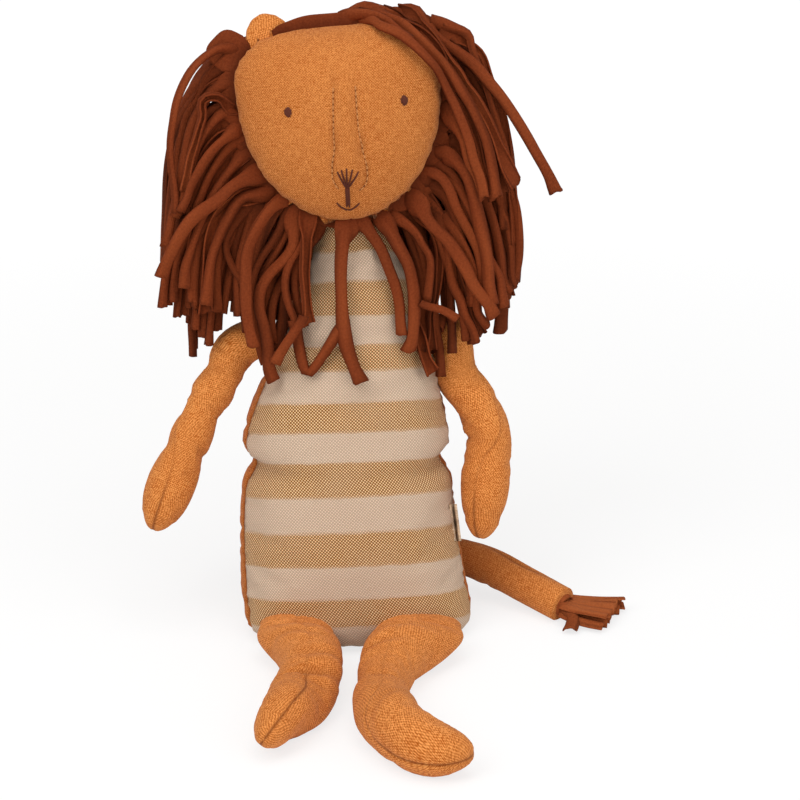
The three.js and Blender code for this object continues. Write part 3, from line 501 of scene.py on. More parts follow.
def stripedWeave(edges):
    # cream warp all over; the weft changes from mustard to natural in bands across the panel, so a
    # mustard band shows a chequer of cream and mustard dots, and a natural one pale cloth with gaps
    m, tree, shader = newMaterial("striped weave", *woven["finish"])
    uv = clothMap(tree)
    over, warp, weft = threads(tree, turnedMap(tree, uv, woven["stripedLean"]), woven["stripedPitch"])
    wobble = cloud(tree, uv, 1.0, 1.0, (160, 900, 1))
    place = math2(tree, "MULTIPLY_ADD", wobble, 0.0012, splitUp(tree, uv)[1])
    ramp = node(tree, "ShaderNodeValToRGB", "mustard bands")
    longest = edges[-1][0] * 1.02
    stops = ramp.color_ramp.elements
    stops[0].color = (0, 0, 0, 1)
    stops[1].color = (1, 1, 1, 1)
    state = 0.0
    for at, mustard in edges:
        before, after = max(0.0, at / longest - stripes["softEdge"]), at / longest + stripes["softEdge"]
        if before > 0.005:
            stops.new(before).color = (state, state, state, 1)
            stops.new(min(1.0, after)).color = (mustard, mustard, mustard, 1)
        state = mustard
    tree.links.new(math2(tree, "DIVIDE", place, longest), ramp.inputs[0])
    slub, slub2 = (cloud(tree, uv, 1.0, 2.0, stretch) for stretch in ((500, 3000, 1), (3000, 500, 1)))
    top = math2(tree, "MULTIPLY_ADD", over, 2.6, 0.5)
    fewer = math2(tree, "SUBTRACT", swung(tree, slub, 1.1, top), 0.36)
    mustard = blendColour(tree, fewer, linear(stripes["mustard"]), linear(stripes["warp"]))
    pale = linear(stripes["natural"])
    natural = blendColour(tree, swung(tree, slub2, 1.3, top), pale, linear(stripes["cream"]))
    gap = math2(tree, "MULTIPLY", math2(tree, "SUBTRACT", 1.0, warp), math2(tree, "SUBTRACT", 1.0, weft))
    tone = blendColour(tree, ramp.outputs[0], natural, mustard)
    tone = blendColour(tree, math2(tree, "MULTIPLY", gap, 0.75), tone, linear(stripes["gap"]))
    broad = cloud(tree, uv, 30.0, 2.0)
    tone = blendColour(tree, math2(tree, "MULTIPLY_ADD", broad, 0.5, -0.18), tone, pale)
    # painted shade along the seams and in the waist, towards the deep colour
    tone = blendColour(tree, paintedLightOf(tree), tone, linear(stripes["deep"]))
    tree.links.new(tone, shader.inputs["Base Color"])
    height = math2(tree, "ADD", math2(tree, "MAXIMUM", warp, weft), math2(tree, "MULTIPLY", slub, 0.8))
    bumped(tree, shader, height, woven["bump"], woven["height"])
    return m


def jersey(name, light, mid, deep, edgeHighlight):
    # single jersey: very fine ribs run along each strip, half a millimetre apart, with soft changes of tone,
    # painted shade in the hollows, and a painted highlight on the cut edges, where the painted light is below
    # nothing
    m, tree, shader = newMaterial(name, 0.86, 0.08)
    uv = clothMap(tree)
    rib, stitch = waves(tree, uv, 2 * math.pi / 0.0005)
    fuzz = cloud(tree, uv, 1100.0, 2.0)
    share = swung(tree, fuzz, 1.2, cloud(tree, uv, 60.0, 3.0, (2.2, 0.6, 1)))
    tone = blendColour(tree, share, linear(mid), linear(light))
    wear = paintedLightOf(tree)
    tone = blendColour(tree, math2(tree, "MULTIPLY", wear, -1.0), tone, linear(edgeHighlight))
    tree.links.new(blendColour(tree, wear, tone, linear(deep)), shader.inputs["Base Color"])
    height = math2(tree, "MULTIPLY_ADD", fuzz, 2.0, math2(tree, "MULTIPLY_ADD", stitch, 0.4, rib))
    bumped(tree, shader, height, 0.35, 0.00018)
    return m


def satinThread(name, light, deep):
    # stranded thread: fine strands along it, slanting by 28 degrees
    m, tree, shader = newMaterial(name, 0.6, 0.22)
    strand = waves(tree, turnedMap(tree, clothMap(tree), 28), 2 * math.pi / 0.0004)[1]
    tone = blendColour(tree, math2(tree, "MULTIPLY_ADD", strand, 0.4, 0.5), linear(deep), linear(light))
    tree.links.new(tone, shader.inputs["Base Color"])
    bumped(tree, shader, strand, 0.5, 0.0002)
    return m


# camera, lamps and floor
view = {"at": (0.0185, -0.851, 0.393), "down": 19.0, "focal": 2137, "picture": 800, "sensor": 36}
camera = bpy.data.objects.new("camera", bpy.data.cameras.new("camera"))
camera.location = view["at"]
camera.rotation_euler = (math.radians(90 - view["down"]), 0, 0)
camera.data.sensor_width = view["sensor"]
camera.data.lens = view["focal"] / view["picture"] * view["sensor"]
bpy.context.scene.collection.objects.link(camera)
bpy.context.scene.camera = camera
eyeAt = np.array(view["at"]) * 1000
sink = math.radians(view["down"])
forward = np.array([0, math.cos(sink), -math.sin(sink)])
upward = np.array([0, math.sin(sink), math.cos(sink)])


def sight(x, y):
    # direction of the line of sight through a place in the 800 wide picture
    x, y = (np.asarray(k, float)[..., None] - view["picture"] / 2 for k in (x, y))
    return unit(forward * view["focal"] + np.array([1, 0, 0]) * x - upward * y)


def mixShaders(tree, share, first, second, target):
    mixed = node(tree, "ShaderNodeMixShader")
    for socket, source in zip(mixed.inputs, (share, first, second)):
        tree.links.new(source, socket)
    tree.links.new(mixed.outputs[0], target)


# area lamps, aimed at a place in the body
aim = Vector((0, 0, 0.1))
lamps = {
    "key": {"at": (-0.75, -0.9, 1.15), "size": 0.9, "power": 8.4},
    "front": {"at": (0.15, -1.25, 0.3), "size": 0.9, "power": 2.2},
    "fill": {"at": (0.95, -0.8, 0.7), "size": 1.1, "power": 4.0},
    "top": {"at": (0.05, -0.35, 1.3), "size": 0.9, "power": 5.6},
}
for name, k in lamps.items():
    lamp = bpy.data.objects.new(name, bpy.data.lights.new(name, "AREA"))
    lamp.data.size, lamp.data.energy = k["size"], k["power"]
    lamp.location = k["at"]
    lamp.rotation_euler = (aim - Vector(k["at"])).to_track_quat("-Z", "Y").to_euler()
    bpy.context.scene.collection.objects.link(lamp)

world = bpy.data.worlds.new("studio")
bpy.context.scene.world = world
world.use_nodes = True
tree = world.node_tree
soft = tree.nodes["Background"]
soft.inputs[0].default_value = (1.0, 0.985, 0.965, 1)
soft.inputs[1].default_value = 0.42
white = node(tree, "ShaderNodeBackground")
white.inputs[1].default_value = 1.0
rays = node(tree, "ShaderNodeLightPath").outputs
seen = math2(tree, "MAXIMUM", rays["Is Camera Ray"], rays["Is Glossy Ray"])
seen = math2(tree, "MAXIMUM", seen, rays["Is Transmission Ray"])
mixShaders(tree, seen, soft.outputs[0], white.outputs[0], tree.nodes["World Output"].inputs[0])

# the floor glows a little near the lion, where its shadow shows, and fully from some way on, in metres
floorLook = {"half": 4000.0, "below": 0.2, "glow": 1.04,
             "rise": {"From Min": 0.2, "From Max": 0.9, "To Min": 0.72, "To Max": 1.0}}
corners = np.array([[-1, -1, 0], [1, -1, 0], [1, 1, 0], [-1, 1, 0]]) * floorLook["half"]
floor = meshOf("floor", corners - [0, 0, floorLook["below"]], [np.array([[0, 1, 2, 3]])])
m, tree, shader = newMaterial("white floor", 0.9, 0.0)
shader.inputs["Base Color"].default_value = (0.93, 0.93, 0.93, 1)
glow = node(tree, "ShaderNodeEmission")
glow.inputs[0].default_value = (1, 1, 1, 1)
glow.inputs[1].default_value = floorLook["glow"]
place = node(tree, "ShaderNodeTexCoord")
far = node(tree, "ShaderNodeVectorMath", operation="LENGTH")
tree.links.new(place.outputs["Object"], far.inputs[0])
rise = node(tree, "ShaderNodeMapRange", "glow by distance")
for key, value in floorLook["rise"].items():
    rise.inputs[key].default_value = value
tree.links.new(far.outputs["Value"], rise.inputs["Value"])
rays = node(tree, "ShaderNodeLightPath").outputs
share = math2(tree, "MULTIPLY", rays["Is Camera Ray"], rise.outputs[0])
mixShaders(tree, share, shader.outputs[0], glow.outputs[0], tree.nodes["Material Output"].inputs[0])
floor.data.materials.append(m)
bpy.context.scene.view_settings.view_transform = "Standard"
print("camera, lamps and floor placed")


# finishes of this lion
ochreLinen = linen("ochre linen", (238, 158, 86), (172, 86, 24), (112, 48, 16))
backLinen = linen("back linen", (220, 138, 70), (148, 66, 14), (112, 50, 18))
maneJersey = jersey("mane jersey", (138, 64, 32), (102, 42, 17), (34, 11, 4), (170, 90, 46))
# the tuft's jersey is the mane's, painted lighter, as it lies out in more light
tuftJersey = jersey("tuft jersey", (170, 88, 46), (124, 60, 28), (52, 20, 8), (206, 124, 74))
cottonTape = linen("cotton tape", (238, 214, 184), (190, 156, 122), (96, 66, 44), 0.0003)
darkThread = satinThread("dark thread", (122, 60, 40), (54, 24, 17))
# thread coloured as painted shade, for the needle holes
shadeThread = satinThread("shaded thread", (146, 80, 36), (92, 44, 18))
ochreThread = satinThread("ochre thread", (234, 170, 104), (180, 108, 52))


def finish(thing, material, slot, body, *nodes):
    thing.data.materials.append(material)
    if body:
        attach(thing, body)
    if nodes:
        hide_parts(*nodes)
    return thing


# body: a belly of striped cloth and a back of linen, sewn up the sides
body = {
    "turn": 4, "neckZ": 166, "neckRadius": 17.5, "pinch": 0.06, "seamRight": 15, "seamLeft": 5,
    "cornerLow": 2.7, "cornerHigh": 2.1, "waistZ": 73.6, "nip": 4.6, "nipSpread": 5.4, "nipFront": 0.16,
    "columns": 112, "rise": 2.1, "tuck": 3.0, "cloth": 0.7,
    # height, half width, half depth, seam y, middle x
    "rings": [
        [0, 36, 17, -12, 1.4], [2.6, 44.5, 23.5, -11, 1.2], [8.5, 48, 28.6, -9.2, 0.6],
        [20, 48, 31, -5.4, -1.2], [45, 46.6, 31, -1, -3.6], [66, 45.2, 28.6, 1.4, -4.1],
        [88, 43.6, 27.4, 5.6, -4.4], [109, 37.2, 26, 10.8, -2.8], [127, 31.6, 23, 14.6, -0.6],
        [147, 23.2, 20, 18, 0.2], [166, 17.5, 17.5, 19, -1]],
    "creases": [
        {"at": 76, "round": 165, "depth": 1.1, "wide": 2.2, "spread": 0.2, "tilt": 5},
        {"at": 74, "round": 20, "depth": 1.1, "wide": 2.2, "spread": 0.2, "tilt": -6},
        {"at": 122, "round": 112, "depth": 1.1, "wide": 3.4, "spread": 0.3, "tilt": 10},
        {"at": 108, "round": 66, "depth": 0.9, "wide": 3.4, "spread": 0.3, "tilt": -12},
        {"at": 24, "round": 40, "depth": 0.6, "wide": 3.0, "spread": 0.2, "tilt": 7},
        {"at": 14, "round": 150, "depth": 0.6, "wide": 2.6, "spread": 0.2, "tilt": -6},
    ],
    # how much lower the stripes lie at the side seams, per mm of depth, and how much they lean
    "stripeDrop": 0.28, "stripeLean": 0.032,
}
bodyTurn = math.radians(body["turn"])
bodySide = np.array([math.cos(bodyTurn), math.sin(bodyTurn), 0])
bodyFront = np.array([math.sin(bodyTurn), -math.cos(bodyTurn), 0])


def bodyRingAt(z):
    # middle, half width, half depth, corner and pinch of the body's ring at a height. A bell curve
    # nips the waist in, and above the neck's height the rings follow a dome
    z = np.asarray(z, float)
    x, y, wide, deep = (readTable(body["rings"], z, column) for column in (4, 3, 1, 2))
    past = np.maximum(0, z - body["neckZ"])
    dome = np.sqrt(np.maximum(0, body["neckRadius"] ** 2 - past ** 2)) / body["neckRadius"]
    nip = body["nip"] * np.exp(-((z - body["waistZ"]) / body["nipSpread"]) ** 2)
    t = np.clip(z / body["neckZ"], 0, 1)
    corner = body["cornerLow"] + (body["cornerHigh"] - body["cornerLow"]) * t ** 0.6
    return (np.stack([x, y, z], -1), (wide - nip) * dome, (deep - nip * body["nipFront"]) * dome, corner,
            body["pinch"] * (1 - t ** 4))


# the columns of the front lie between the two seams, which are a little in front of the sides
half = body["columns"] // 2
first, last = math.radians(body["seamLeft"]), math.radians(180 - body["seamRight"])
angle = np.r_[np.linspace(first, last, half, endpoint=False),
              np.linspace(last, first + 2 * np.pi, half, endpoint=False)]
# rings on the flat bottom, up the sides and over the neck
baseShare = np.array([0.06, 0.3, 0.55, 0.78, 0.93])
flat = len(baseShare)
lift = body["neckZ"] * np.linspace(0, 1, round(body["neckZ"] / body["rise"])) ** 1.04
domeZ = body["neckZ"] + body["neckRadius"] * np.sin(np.radians([14, 28, 42, 56, 70, 82]))
levels = np.r_[np.zeros(flat), lift, domeZ]
share = np.r_[baseShare, np.ones(len(lift) + len(domeZ))]
centre, across, deep, corner, pinch = bodyRingAt(levels)
skin = rings(centre, bodySide, bodyFront, across * share, deep * share, corner, pinch, angle)
bodyRest = skin.copy()
skin = stuff("body", skin, 0.9, 0.8, flat + 1, floor=0)
normals = gridNormals(skin)
normals[:flat] = [0, 0, -1]
above = (levels > 3)[:, None, None]
dressed = folds(skin, normals, levels, angle, body["creases"])
dressed = seams(dressed, normals, 1.0, groove=0.8, pucker=0.32, period=5.2)
skin = np.where(above, dressed, skin)
skin[..., 2] = np.maximum(skin[..., 2], 0)
to, _ = seamArc(bodyRest)
nipped = np.exp(-((levels[:, None] - body["waistZ"]) / 3.0) ** 2) * np.exp(-to / 9)
# painted shade along the side seams and in the nipped waist
wear = np.maximum(0.55 * np.exp(-(to / 1.6) ** 2), 0.3 * nipped)
middle = body["columns"] // 4
slip = body["stripeDrop"] * (bodyRest[..., 1] - bodyRest[:, [middle], 1])
slip = slip - body["stripeLean"] * bodyRest[..., 0]
# the stripes are placed by their height down the front, carried over to the cloth's own length
run = runAlong(skin[:, middle]) * 0.001
edges = [(run[flat], 0.0)]
for k, z in reversed(list(enumerate(stripeEdges))):
    if z > 0.5:
        edges.append((float(np.interp(z, levels[flat:], run[flat:])), float(k % 2 == 0)))
edges.append((run[-1], 1.0))
normals = gridNormals(skin)
belly = halfForm("body_front", skin, normals, True, body["tuck"], wear, slip)
back = halfForm("body_back", skin, normals, False, body["tuck"], wear)
finish(belly, stripedWeave(edges), "striped_weave", "torso", "body_front_panel")
finish(back, backLinen, "back_linen", "torso", "body_back_panel", "body_filling")
bodyTree = rayTree(skin)
print("body made")


# head: a flat pad of two panels, the seam puckered all the way round
head = {
    "at": (-5.4, 8, 217), "pitch": 8, "roll": 4.9, "yaw": 4, "halfWidth": 41.8, "widestAt": 11.8, "above": 27,
    "below": 52, "halfDepth": 23, "crown": 3.1, "pinch": 0.22, "swell": 0.7, "columns": 112,
    "dimpleAt": 3.7, "dimpleEvery": 20.4, "tuck": 2.6, "cloth": 0.6,
    # places in the 800 wide picture: the two lines of topstitching that hold the nose panel up
    "ridge": {"height": 2.4, "groove": 0.7, "top": 17, "bottom": -24, "stitch": 2.3,
              "right": [(333, 88), (333, 106), (333.5, 124), (334, 150), (332, 168), (333, 180), (339, 189)],
              "left": [(355, 86), (356.5, 108), (359, 134), (364.5, 158), (367.5, 176), (364, 186),
                       (355, 193)]},
}


def turning(pitch, roll, yaw):
    # turned about the width axis, after a lean about the depth axis, then about the upright
    p, r, y = np.radians([-pitch, -roll, yaw])
    rx = np.array([[1, 0, 0], [0, math.cos(p), -math.sin(p)], [0, math.sin(p), math.cos(p)]])
    ry = np.array([[math.cos(r), 0, math.sin(r)], [0, 1, 0], [-math.sin(r), 0, math.cos(r)]])
    rz = np.array([[math.cos(y), -math.sin(y), 0], [math.sin(y), math.cos(y), 0], [0, 0, 1]])
    return rz @ rx @ ry


headTurn = turning(head["pitch"], head["roll"], head["yaw"])
headSide, headFront, headUp = headTurn[:, 0], -headTurn[:, 1], headTurn[:, 2]
headAt = np.array(head["at"], float)


def onHead(u, v, n=0.0):
    # the point at a width, a height and a depth from the head's middle
    u, v, n = (np.asarray(k, float)[..., None] for k in (u, v, n))
    return headAt + u * headSide + v * headUp + n * headFront


def headHalf(v):
    # half width: a superellipse about the widest height; half depth swells quickly from the seam
    t = np.asarray(v, float) - head["widestAt"]
    reach, power = np.where(t > 0, head["above"], head["below"]), np.where(t > 0, head["crown"], 2.0)
    r = np.minimum(1, np.abs(t) / reach)
    across = head["halfWidth"] * (1 - r ** power) ** (1 / power)
    return across, head["halfDepth"] * (1 - r ** 2.4) ** head["swell"]


def faceEdge(degrees, scale=1.0):
    # the seam of the head at an angle round its widest height
    c, s = np.cos(np.radians(degrees)), np.sin(np.radians(degrees))
    e = np.where(s > 0, 2 / head["crown"], 1.0)
    u = head["halfWidth"] * np.sign(c) * np.abs(c) ** e
    v = np.where(s > 0, head["above"], head["below"]) * np.sign(s) * np.abs(s) ** e
    return u * scale, head["widestAt"] + v * scale


def edgeOut(degrees, scale=1.0):
    # a point of the seam, and the way straight out from it in the seam's plane
    u, v = faceEdge(degrees, scale)
    u2, v2 = faceEdge(degrees + 3, scale)
    return u, v, unit(np.stack([v2 - v, -(u2 - u)], -1))


angle = np.linspace(0, 2 * np.pi, head["columns"], endpoint=False)
low = head["widestAt"] - head["below"] * np.cos(np.linspace(0.06, 1, 34)[:-1] * np.pi / 2)
high = head["widestAt"] + head["above"] * np.sin(np.linspace(0, 0.95, 26) * np.pi / 2)
levels = np.r_[low, high]
across, deep = headHalf(levels)
skin = rings(onHead(0, levels), headSide, headFront, across, deep, 2, head["pinch"], angle)
headRest = skin.copy()
skin = stuff("head", skin, 0.8, 0.25, 2)
normals = gridNormals(skin)


def pictureSpot(points, tree):
    # the width and height on the head of places in the picture, by their lines of sight
    p = np.array(points, float)
    d = sight(p[:, 0], p[:, 1])
    hits = np.array([tree.ray_cast(Vector(eyeAt), Vector(k))[0] for k in d]) - headAt
    return np.stack([hits @ headSide, hits @ headUp], -1)


# the nose panel stands up between two lines of stitching, half a cosine wave across
ridge = head["ridge"]
restTree = rayTree(headRest)
sewn = {side: pictureSpot(ridge[side], restTree) for side in ("right", "left")}
u, v = (skin - headAt) @ headSide, (skin - headAt) @ headUp
inFront = np.sin(angle)[None] > 0.2
reach = 1 / (1 + np.exp((v - ridge["top"]) / 4)) / (1 + np.exp((ridge["bottom"] - v) / 2))
rightLine, leftLine = (readTable(sewn[side][::-1, ::-1], v) for side in ("right", "left"))
half = (leftLine - rightLine) / 2
side = np.abs(u - (leftLine + rightLine) / 2)
rise = ridge["height"] * 0.5 * (1 + np.cos(np.pi * np.clip(side / half, 0, 1))) * reach
rise -= ridge["groove"] * np.exp(-((side - half) / 0.9) ** 2) * reach
skin = skin + normals * np.where(inFront, rise, 0)[..., None]
# the seam is drawn in at dimples along the top, and puckered more there
to, _ = seamArc(headRest)
dimple = 0.5 + 0.5 * np.cos(2 * np.pi * (u - head["dimpleAt"]) / head["dimpleEvery"])
skin = skin - normals * (1.5 * dimple ** 2 / (1 + np.exp((24 - v) / 3)) * np.exp(-to / 4))[..., None]
puckers = 0.22 + 0.3 / (1 + np.exp((26 - v) / 4))
skin = seams(skin, normals, 2.0, groove=1.0, pucker=puckers, period=4.2, reach=5.0)
# a little painted shade over the whole head, more along the seam and in the grooves of the topstitching
stitched = np.where(inFront, reach * np.exp(-((side - half) / 0.7) ** 2), 0)
wear = 0.2 + 0.3 * np.exp(-(to / 1.2) ** 2) + 0.3 * stitched
normals = gridNormals(skin)
face = halfForm("face", skin, normals, True, head["tuck"], wear)
headBack = halfForm("head_back", skin, normals, False, head["tuck"], wear)
finish(face, ochreLinen, "ochre_linen", "head", "face_panel")
finish(headBack, backLinen, "back_linen", "head", "head_back_panel", "head_filling")
headTree = rayTree(skin)
print("head made")


def faceSpot(u, v, lift=0.0):
    # points on the face panel in front of u, v, lifted off the cloth
    hits = [headTree.ray_cast(Vector(p), Vector(-headFront)) for p in onHead(u, v, 60.0)]
    spots, facing = (np.array([hit[k] for hit in hits]) for k in (0, 1))
    facing *= np.sign(facing @ headFront)[:, None]
    return spots + facing * np.reshape(lift, (-1, 1))


# thread
def tubeGrid(line, radius, columns, flat, up):
    # a profile round a path: the ring lies across the path's direction, its second axis pressed flat
    line = np.asarray(line, float)
    along = unit(np.gradient(line, axis=0))
    side = unit(np.cross(along, np.asarray(up, float) + 1e-6))
    top = np.cross(side, along)
    t = np.linspace(0, 2 * np.pi, columns, endpoint=False)
    r = np.broadcast_to(radius, (len(line),))[:, None, None]
    c, s = np.cos(t)[None, :, None], np.sin(t)[None, :, None]
    return line[:, None] + r * (c * side[:, None] + flat * s * top[:, None])


def joinedForms(name, grids):
    # several closed tubes in one mesh, each with its own length and way round as cloth map
    points, faces, caps, uv, at = [], [], [], [], 0
    for g in grids:
        rows, cols = g.shape[:2]
        flat = g.reshape(-1, 3)
        quads, top, foot = shellFaces(flat - flat.mean(0), rows, cols, True)
        run, j = runAlong(g.mean(1)), np.arange(cols)
        girth = np.linalg.norm(g[rows // 2, 0] - g[rows // 2].mean(0)) * 2 * np.pi
        w = np.minimum(j, cols - j) / cols * girth
        own = np.stack(np.broadcast_arrays(w[None], run[:, None]), -1).reshape(-1, 2)
        uv.append(np.vstack([own, [[0, 0], [0, run[-1]]]]))
        points.append(np.vstack([flat, g[0].mean(0), g[-1].mean(0)]))
        faces.append(quads + at)
        caps += [top + at, foot + at]
        at += len(flat) + 2
    return meshOf(name, np.vstack(points), faces + caps, np.vstack(uv))


def stitchLine(a, b, radius, count=7, proud=0.35, dip=0.5):
    # one stitch: it rises from the cloth, lies over it and goes back in
    t = np.linspace(0, 1, count)
    u, v = a[0] + (b[0] - a[0]) * t, a[1] + (b[1] - a[1]) * t
    lift = proud - (proud + dip) * (np.abs(2 * t - 1) ** 6)
    return tubeGrid(faceSpot(u, v, lift), radius, 7, 0.8, headFront)


# each eye is a few upright stitches side by side, longest in the middle
eye = {"apart": 46.4, "u": 1.9, "v": 7.1, "half": 1.15, "height": 2.1, "threads": 5, "radius": 0.38}
for name, at in (("eye_right", eye["u"] - eye["apart"] / 2), ("eye_left", eye["u"] + eye["apart"] / 2)):
    grids = []
    for k in range(eye["threads"]):
        x = (k / (eye["threads"] - 1) - 0.5) * 2
        tall = eye["height"] * math.sqrt(1 - 0.75 * x * x) * (1 + 0.08 * float(wander(k, at)))
        top, foot = (at + x * eye["half"], eye["v"] + tall), (at + x * eye["half"] * 0.9, eye["v"] - tall)
        grids.append(stitchLine(top, foot, eye["radius"], 7, 0.35 + 0.25 * (1 - x * x)))
    finish(joinedForms(name, grids), darkThread, "embroidery_thread", "head", name)


def stitchesAt(name, stitches, radius):
    # single stitches, each from one place in the picture to another
    grids = [stitchLine(*pictureSpot(ends, headTree), radius, 9, 0.4) for ends in stitches]
    finish(joinedForms(name, grids), darkThread, "embroidery_thread", "head", name + "_embroidery")


# a fan of five stitches over a thick upright, and a mouth of two stitches on each side
fan = [(337, 171), (341.2, 169), (346.6, 167.6), (352.6, 168.6), (359, 170.6)]
nose = [(top, (347.2 + 0.25 * (k - 2), 188.5)) for k, top in enumerate(fan)]
nose += [((345.9, 187), (346.9, 208)), ((348.9, 187), (349.5, 208.5)), ((347.4, 186), (348.2, 206))]
stitchesAt("nose", nose, 0.37)
stitchesAt("mouth", [((336.8, 202.6), (342, 207.6)), ((341.4, 206.8), (348, 209.8)),
                     ((348, 209.8), (353.6, 208)), ((353, 208.4), (359.6, 202.8))], 0.34)

# two lines of short topstitches beside the nose, and between each two a short dark thread at the needle hole,
# its painted shade
grids, holeShade = [], []
for side in ("right", "left"):
    path, run = smoothLine(sewn[side], 400)
    for k in range(int(run / ridge["stitch"])):
        a, b, c, d = evenAt(path, np.array([k, k + 0.62, k + 0.71, k + 0.91]) * ridge["stitch"] / run)
        grids.append(stitchLine(a, b, 0.3, 6, 0.42))
        holeShade.append(stitchLine(c, d, 0.24, 5, 0.12, 0.3))
finish(joinedForms("needle_holes", holeShade), shadeThread, "embroidery_thread", "head")
finish(joinedForms("nose_topstitching", grids), ochreThread, "embroidery_thread", "head")
print("face sewn")


# ears: half-round pads
ear = {"angle": 118.5, "half": 10.2, "height": 9.8, "depth": 3.6, "sink": 2.5, "back": 2.6, "leftBack": 0.85,
       "cloth": 0.5}
for name, degrees in (("ear_right", ear["angle"]), ("ear_left", 180 - ear["angle"])):
    u, v, o = edgeOut(degrees)
    out = headSide * o[0] + headUp * o[1]
    if name == "ear_left":
        # the mane presses this one back
        out = unit(out - headFront * math.tan(ear["leftBack"]))
    flatWay = headSide * -o[1] + headUp * o[0]
    base = onHead(u, v, -ear["back"]) - out * ear["sink"]
    total = ear["height"] + ear["sink"]
    h = total * np.sin(np.linspace(0, 0.97, 22) * np.pi / 2)
    k = np.sqrt(1 - (h / total) ** 2)
    angle = np.linspace(0, 2 * np.pi, 56, endpoint=False)
    across, deep = ear["half"] * k, ear["depth"] * k ** 0.7
    skin = rings(base + out * h[:, None], flatWay, headFront, across, deep, 2, 0.1, angle)
    skin = seams(skin, gridNormals(skin), 3.0 + degrees, groove=0.5, pucker=0.3, period=4.2, reach=3.5)
    finish(closedForm(name, skin), ochreLinen, "ochre_linen", "head", name)
print("ears made")


# arms, legs and tail: rings carried along a bent middle line
limb = {"every": 1.9, "corner": 2.05, "pinch": 0.1, "rootWayFades": 32, "crumple": 0.3, "groove": 0.34,
        "pucker": 0.16, "flatPucker": 0.05, "period": 4.8, "reach": 4.5, "darkest": 0.75, "cloth": 0.75}


def limbForm(name, line, length, wide, high, tipRound, seamWay, root, columns, floor, creases, plumpness,
             seed, marked, rootWay=None):
    # rings of a half width and a half height at each length along the line, with a rounded tip and a
    # root that is a ball or a flat edge. The seam shows most past a length, marked, and seamWay gives
    # the side it lies on at a share of the line
    angle = np.linspace(0, 2 * np.pi, columns, endpoint=False)
    straight = length - tipRound
    s0 = np.linspace(0, straight, round(straight / limb["every"]))
    a = np.radians(np.linspace(6, 84, 12))
    s = np.r_[s0, straight + tipRound * np.sin(a)]
    shrink = np.r_[np.ones(len(s0)), np.cos(a)]
    t = s / length
    centre = evenAt(line, t)
    along = unit(evenAt(np.gradient(line, axis=0), t))
    way = np.array([seamWay(k) for k in t])
    side = unit(way - along * np.sum(along * way, axis=1, keepdims=True))
    front = np.cross(along, side)
    if rootWay is not None:
        # a root sewn into a straight seam keeps the way of that seam
        kept = np.exp(-(s / limb["rootWayFades"]) ** 2)[:, None]
        front = unit(front + kept * (rootWay * np.sign(front[0] @ rootWay) - front))
    across, deep = high(s) * shrink, wide(s) * shrink
    back = np.radians(np.linspace(8, 84, 8))
    grown, thick = np.sin(back), float(high(np.zeros(1))[0])
    centre = np.vstack([centre[0] - along[0] * (thick * np.cos(back))[:, None], centre])
    across = np.r_[grown * thick, across]
    deep = np.r_[(grown if root == "ball" else 0.94 + 0.06 * grown) * float(wide(np.zeros(1))[0]), deep]
    run = np.r_[-thick * np.cos(back), s]
    side, front = (np.vstack([np.repeat(k[:1], len(back), 0), k]) for k in (side, front))
    skin = rings(centre, side, front, across, deep, limb["corner"], limb["pinch"], angle)
    if floor is not None:
        skin[..., 2] = np.maximum(skin[..., 2], floor)
    to, _ = seamArc(skin)
    if plumpness:
        skin = stuff(name, skin, plumpness, limb["crumple"], 6, floor)
    normals = gridNormals(skin)
    skin = folds(skin, normals, run, angle, creases)
    shows = (0.2 + 0.8 / (1 + np.exp((marked - run) / 3)))[:, None]
    pucker = limb["pucker" if plumpness else "flatPucker"]
    skin = seams(skin, normals, seed, limb["groove"] * shows, pucker, limb["period"], limb["reach"])
    if floor is not None:
        skin[..., 2] = np.maximum(skin[..., 2], floor)
    # painted shade along the seam, strongest where it shows, and in the creases
    wear = limb["darkest"] * shows * np.exp(-(to / 0.6) ** 2)
    for k in creases:
        near, away = creaseShape(k, run, angle)
        wear = np.maximum(wear, 0.16 * k["depth"] * near * np.exp(-away ** 2))
    return skin, np.clip(wear, 0, limb["darkest"]), run, angle


# a limb is 200 points of middle line; radius and wide are tables by length, bend is out, forward and
# down from the root, and tips are the lengths over which the ends round off
arms = {
    "right": {"sign": -1, "seamAt": 0.2,
              "radius": [[0, 8.4], [10, 9.1], [21, 8.3], [30, 9.1], [40, 8.1], [50, 9.4], [60, 9.1],
                         [70, 9.8], [200, 9.6]],
              "bend": [[0, 0, 0], [8, 2, 5], [13, 4.5, 14.5], [21.5, 9, 28.5], [30, 16, 47], [37, 23, 63],
                       [42.5, 29, 76]],
              "creases": [{"at": 36, "round": 60, "depth": 0.9, "wide": 1.5, "tilt": 2, "spread": 0.4},
                          {"at": 41, "round": 100, "depth": 0.6, "wide": 1.3, "tilt": -2, "spread": 0.3},
                          {"at": 56, "round": 250, "depth": 0.7, "wide": 1.8, "tilt": -3, "spread": 0.5},
                          {"at": 20, "round": 300, "depth": 0.5, "wide": 2.2, "tilt": 3, "spread": 0.5}]},
    "left": {"sign": 1, "seamAt": -0.6,
             "radius": [[0, 8.4], [18, 9.8], [38, 9.9], [52, 10.2], [66, 10.3], [80, 9.6], [200, 9.4]],
             "bend": [[0, 0, 0], [2.4, 4, 16], [10.3, 9, 28], [15.4, 13, 41], [15, 18, 56], [12.6, 25, 84]],
             "creases": [{"at": 46, "round": 120, "depth": 1.3, "wide": 1.4, "tilt": -3, "spread": 0.45},
                         {"at": 50, "round": 150, "depth": 0.9, "wide": 1.2, "tilt": -5, "spread": 0.35},
                         {"at": 60, "round": 80, "depth": 0.6, "wide": 1.8, "tilt": 4, "spread": 0.4},
                         {"at": 24, "round": 30, "depth": 0.5, "wide": 2.2, "tilt": 3, "spread": 0.5}]},
}
armLook = {"tip": 21, "columns": 60, "plump": 0.6, "marked": 74, "seamTurnsAt": 0.52}
armTrees = []
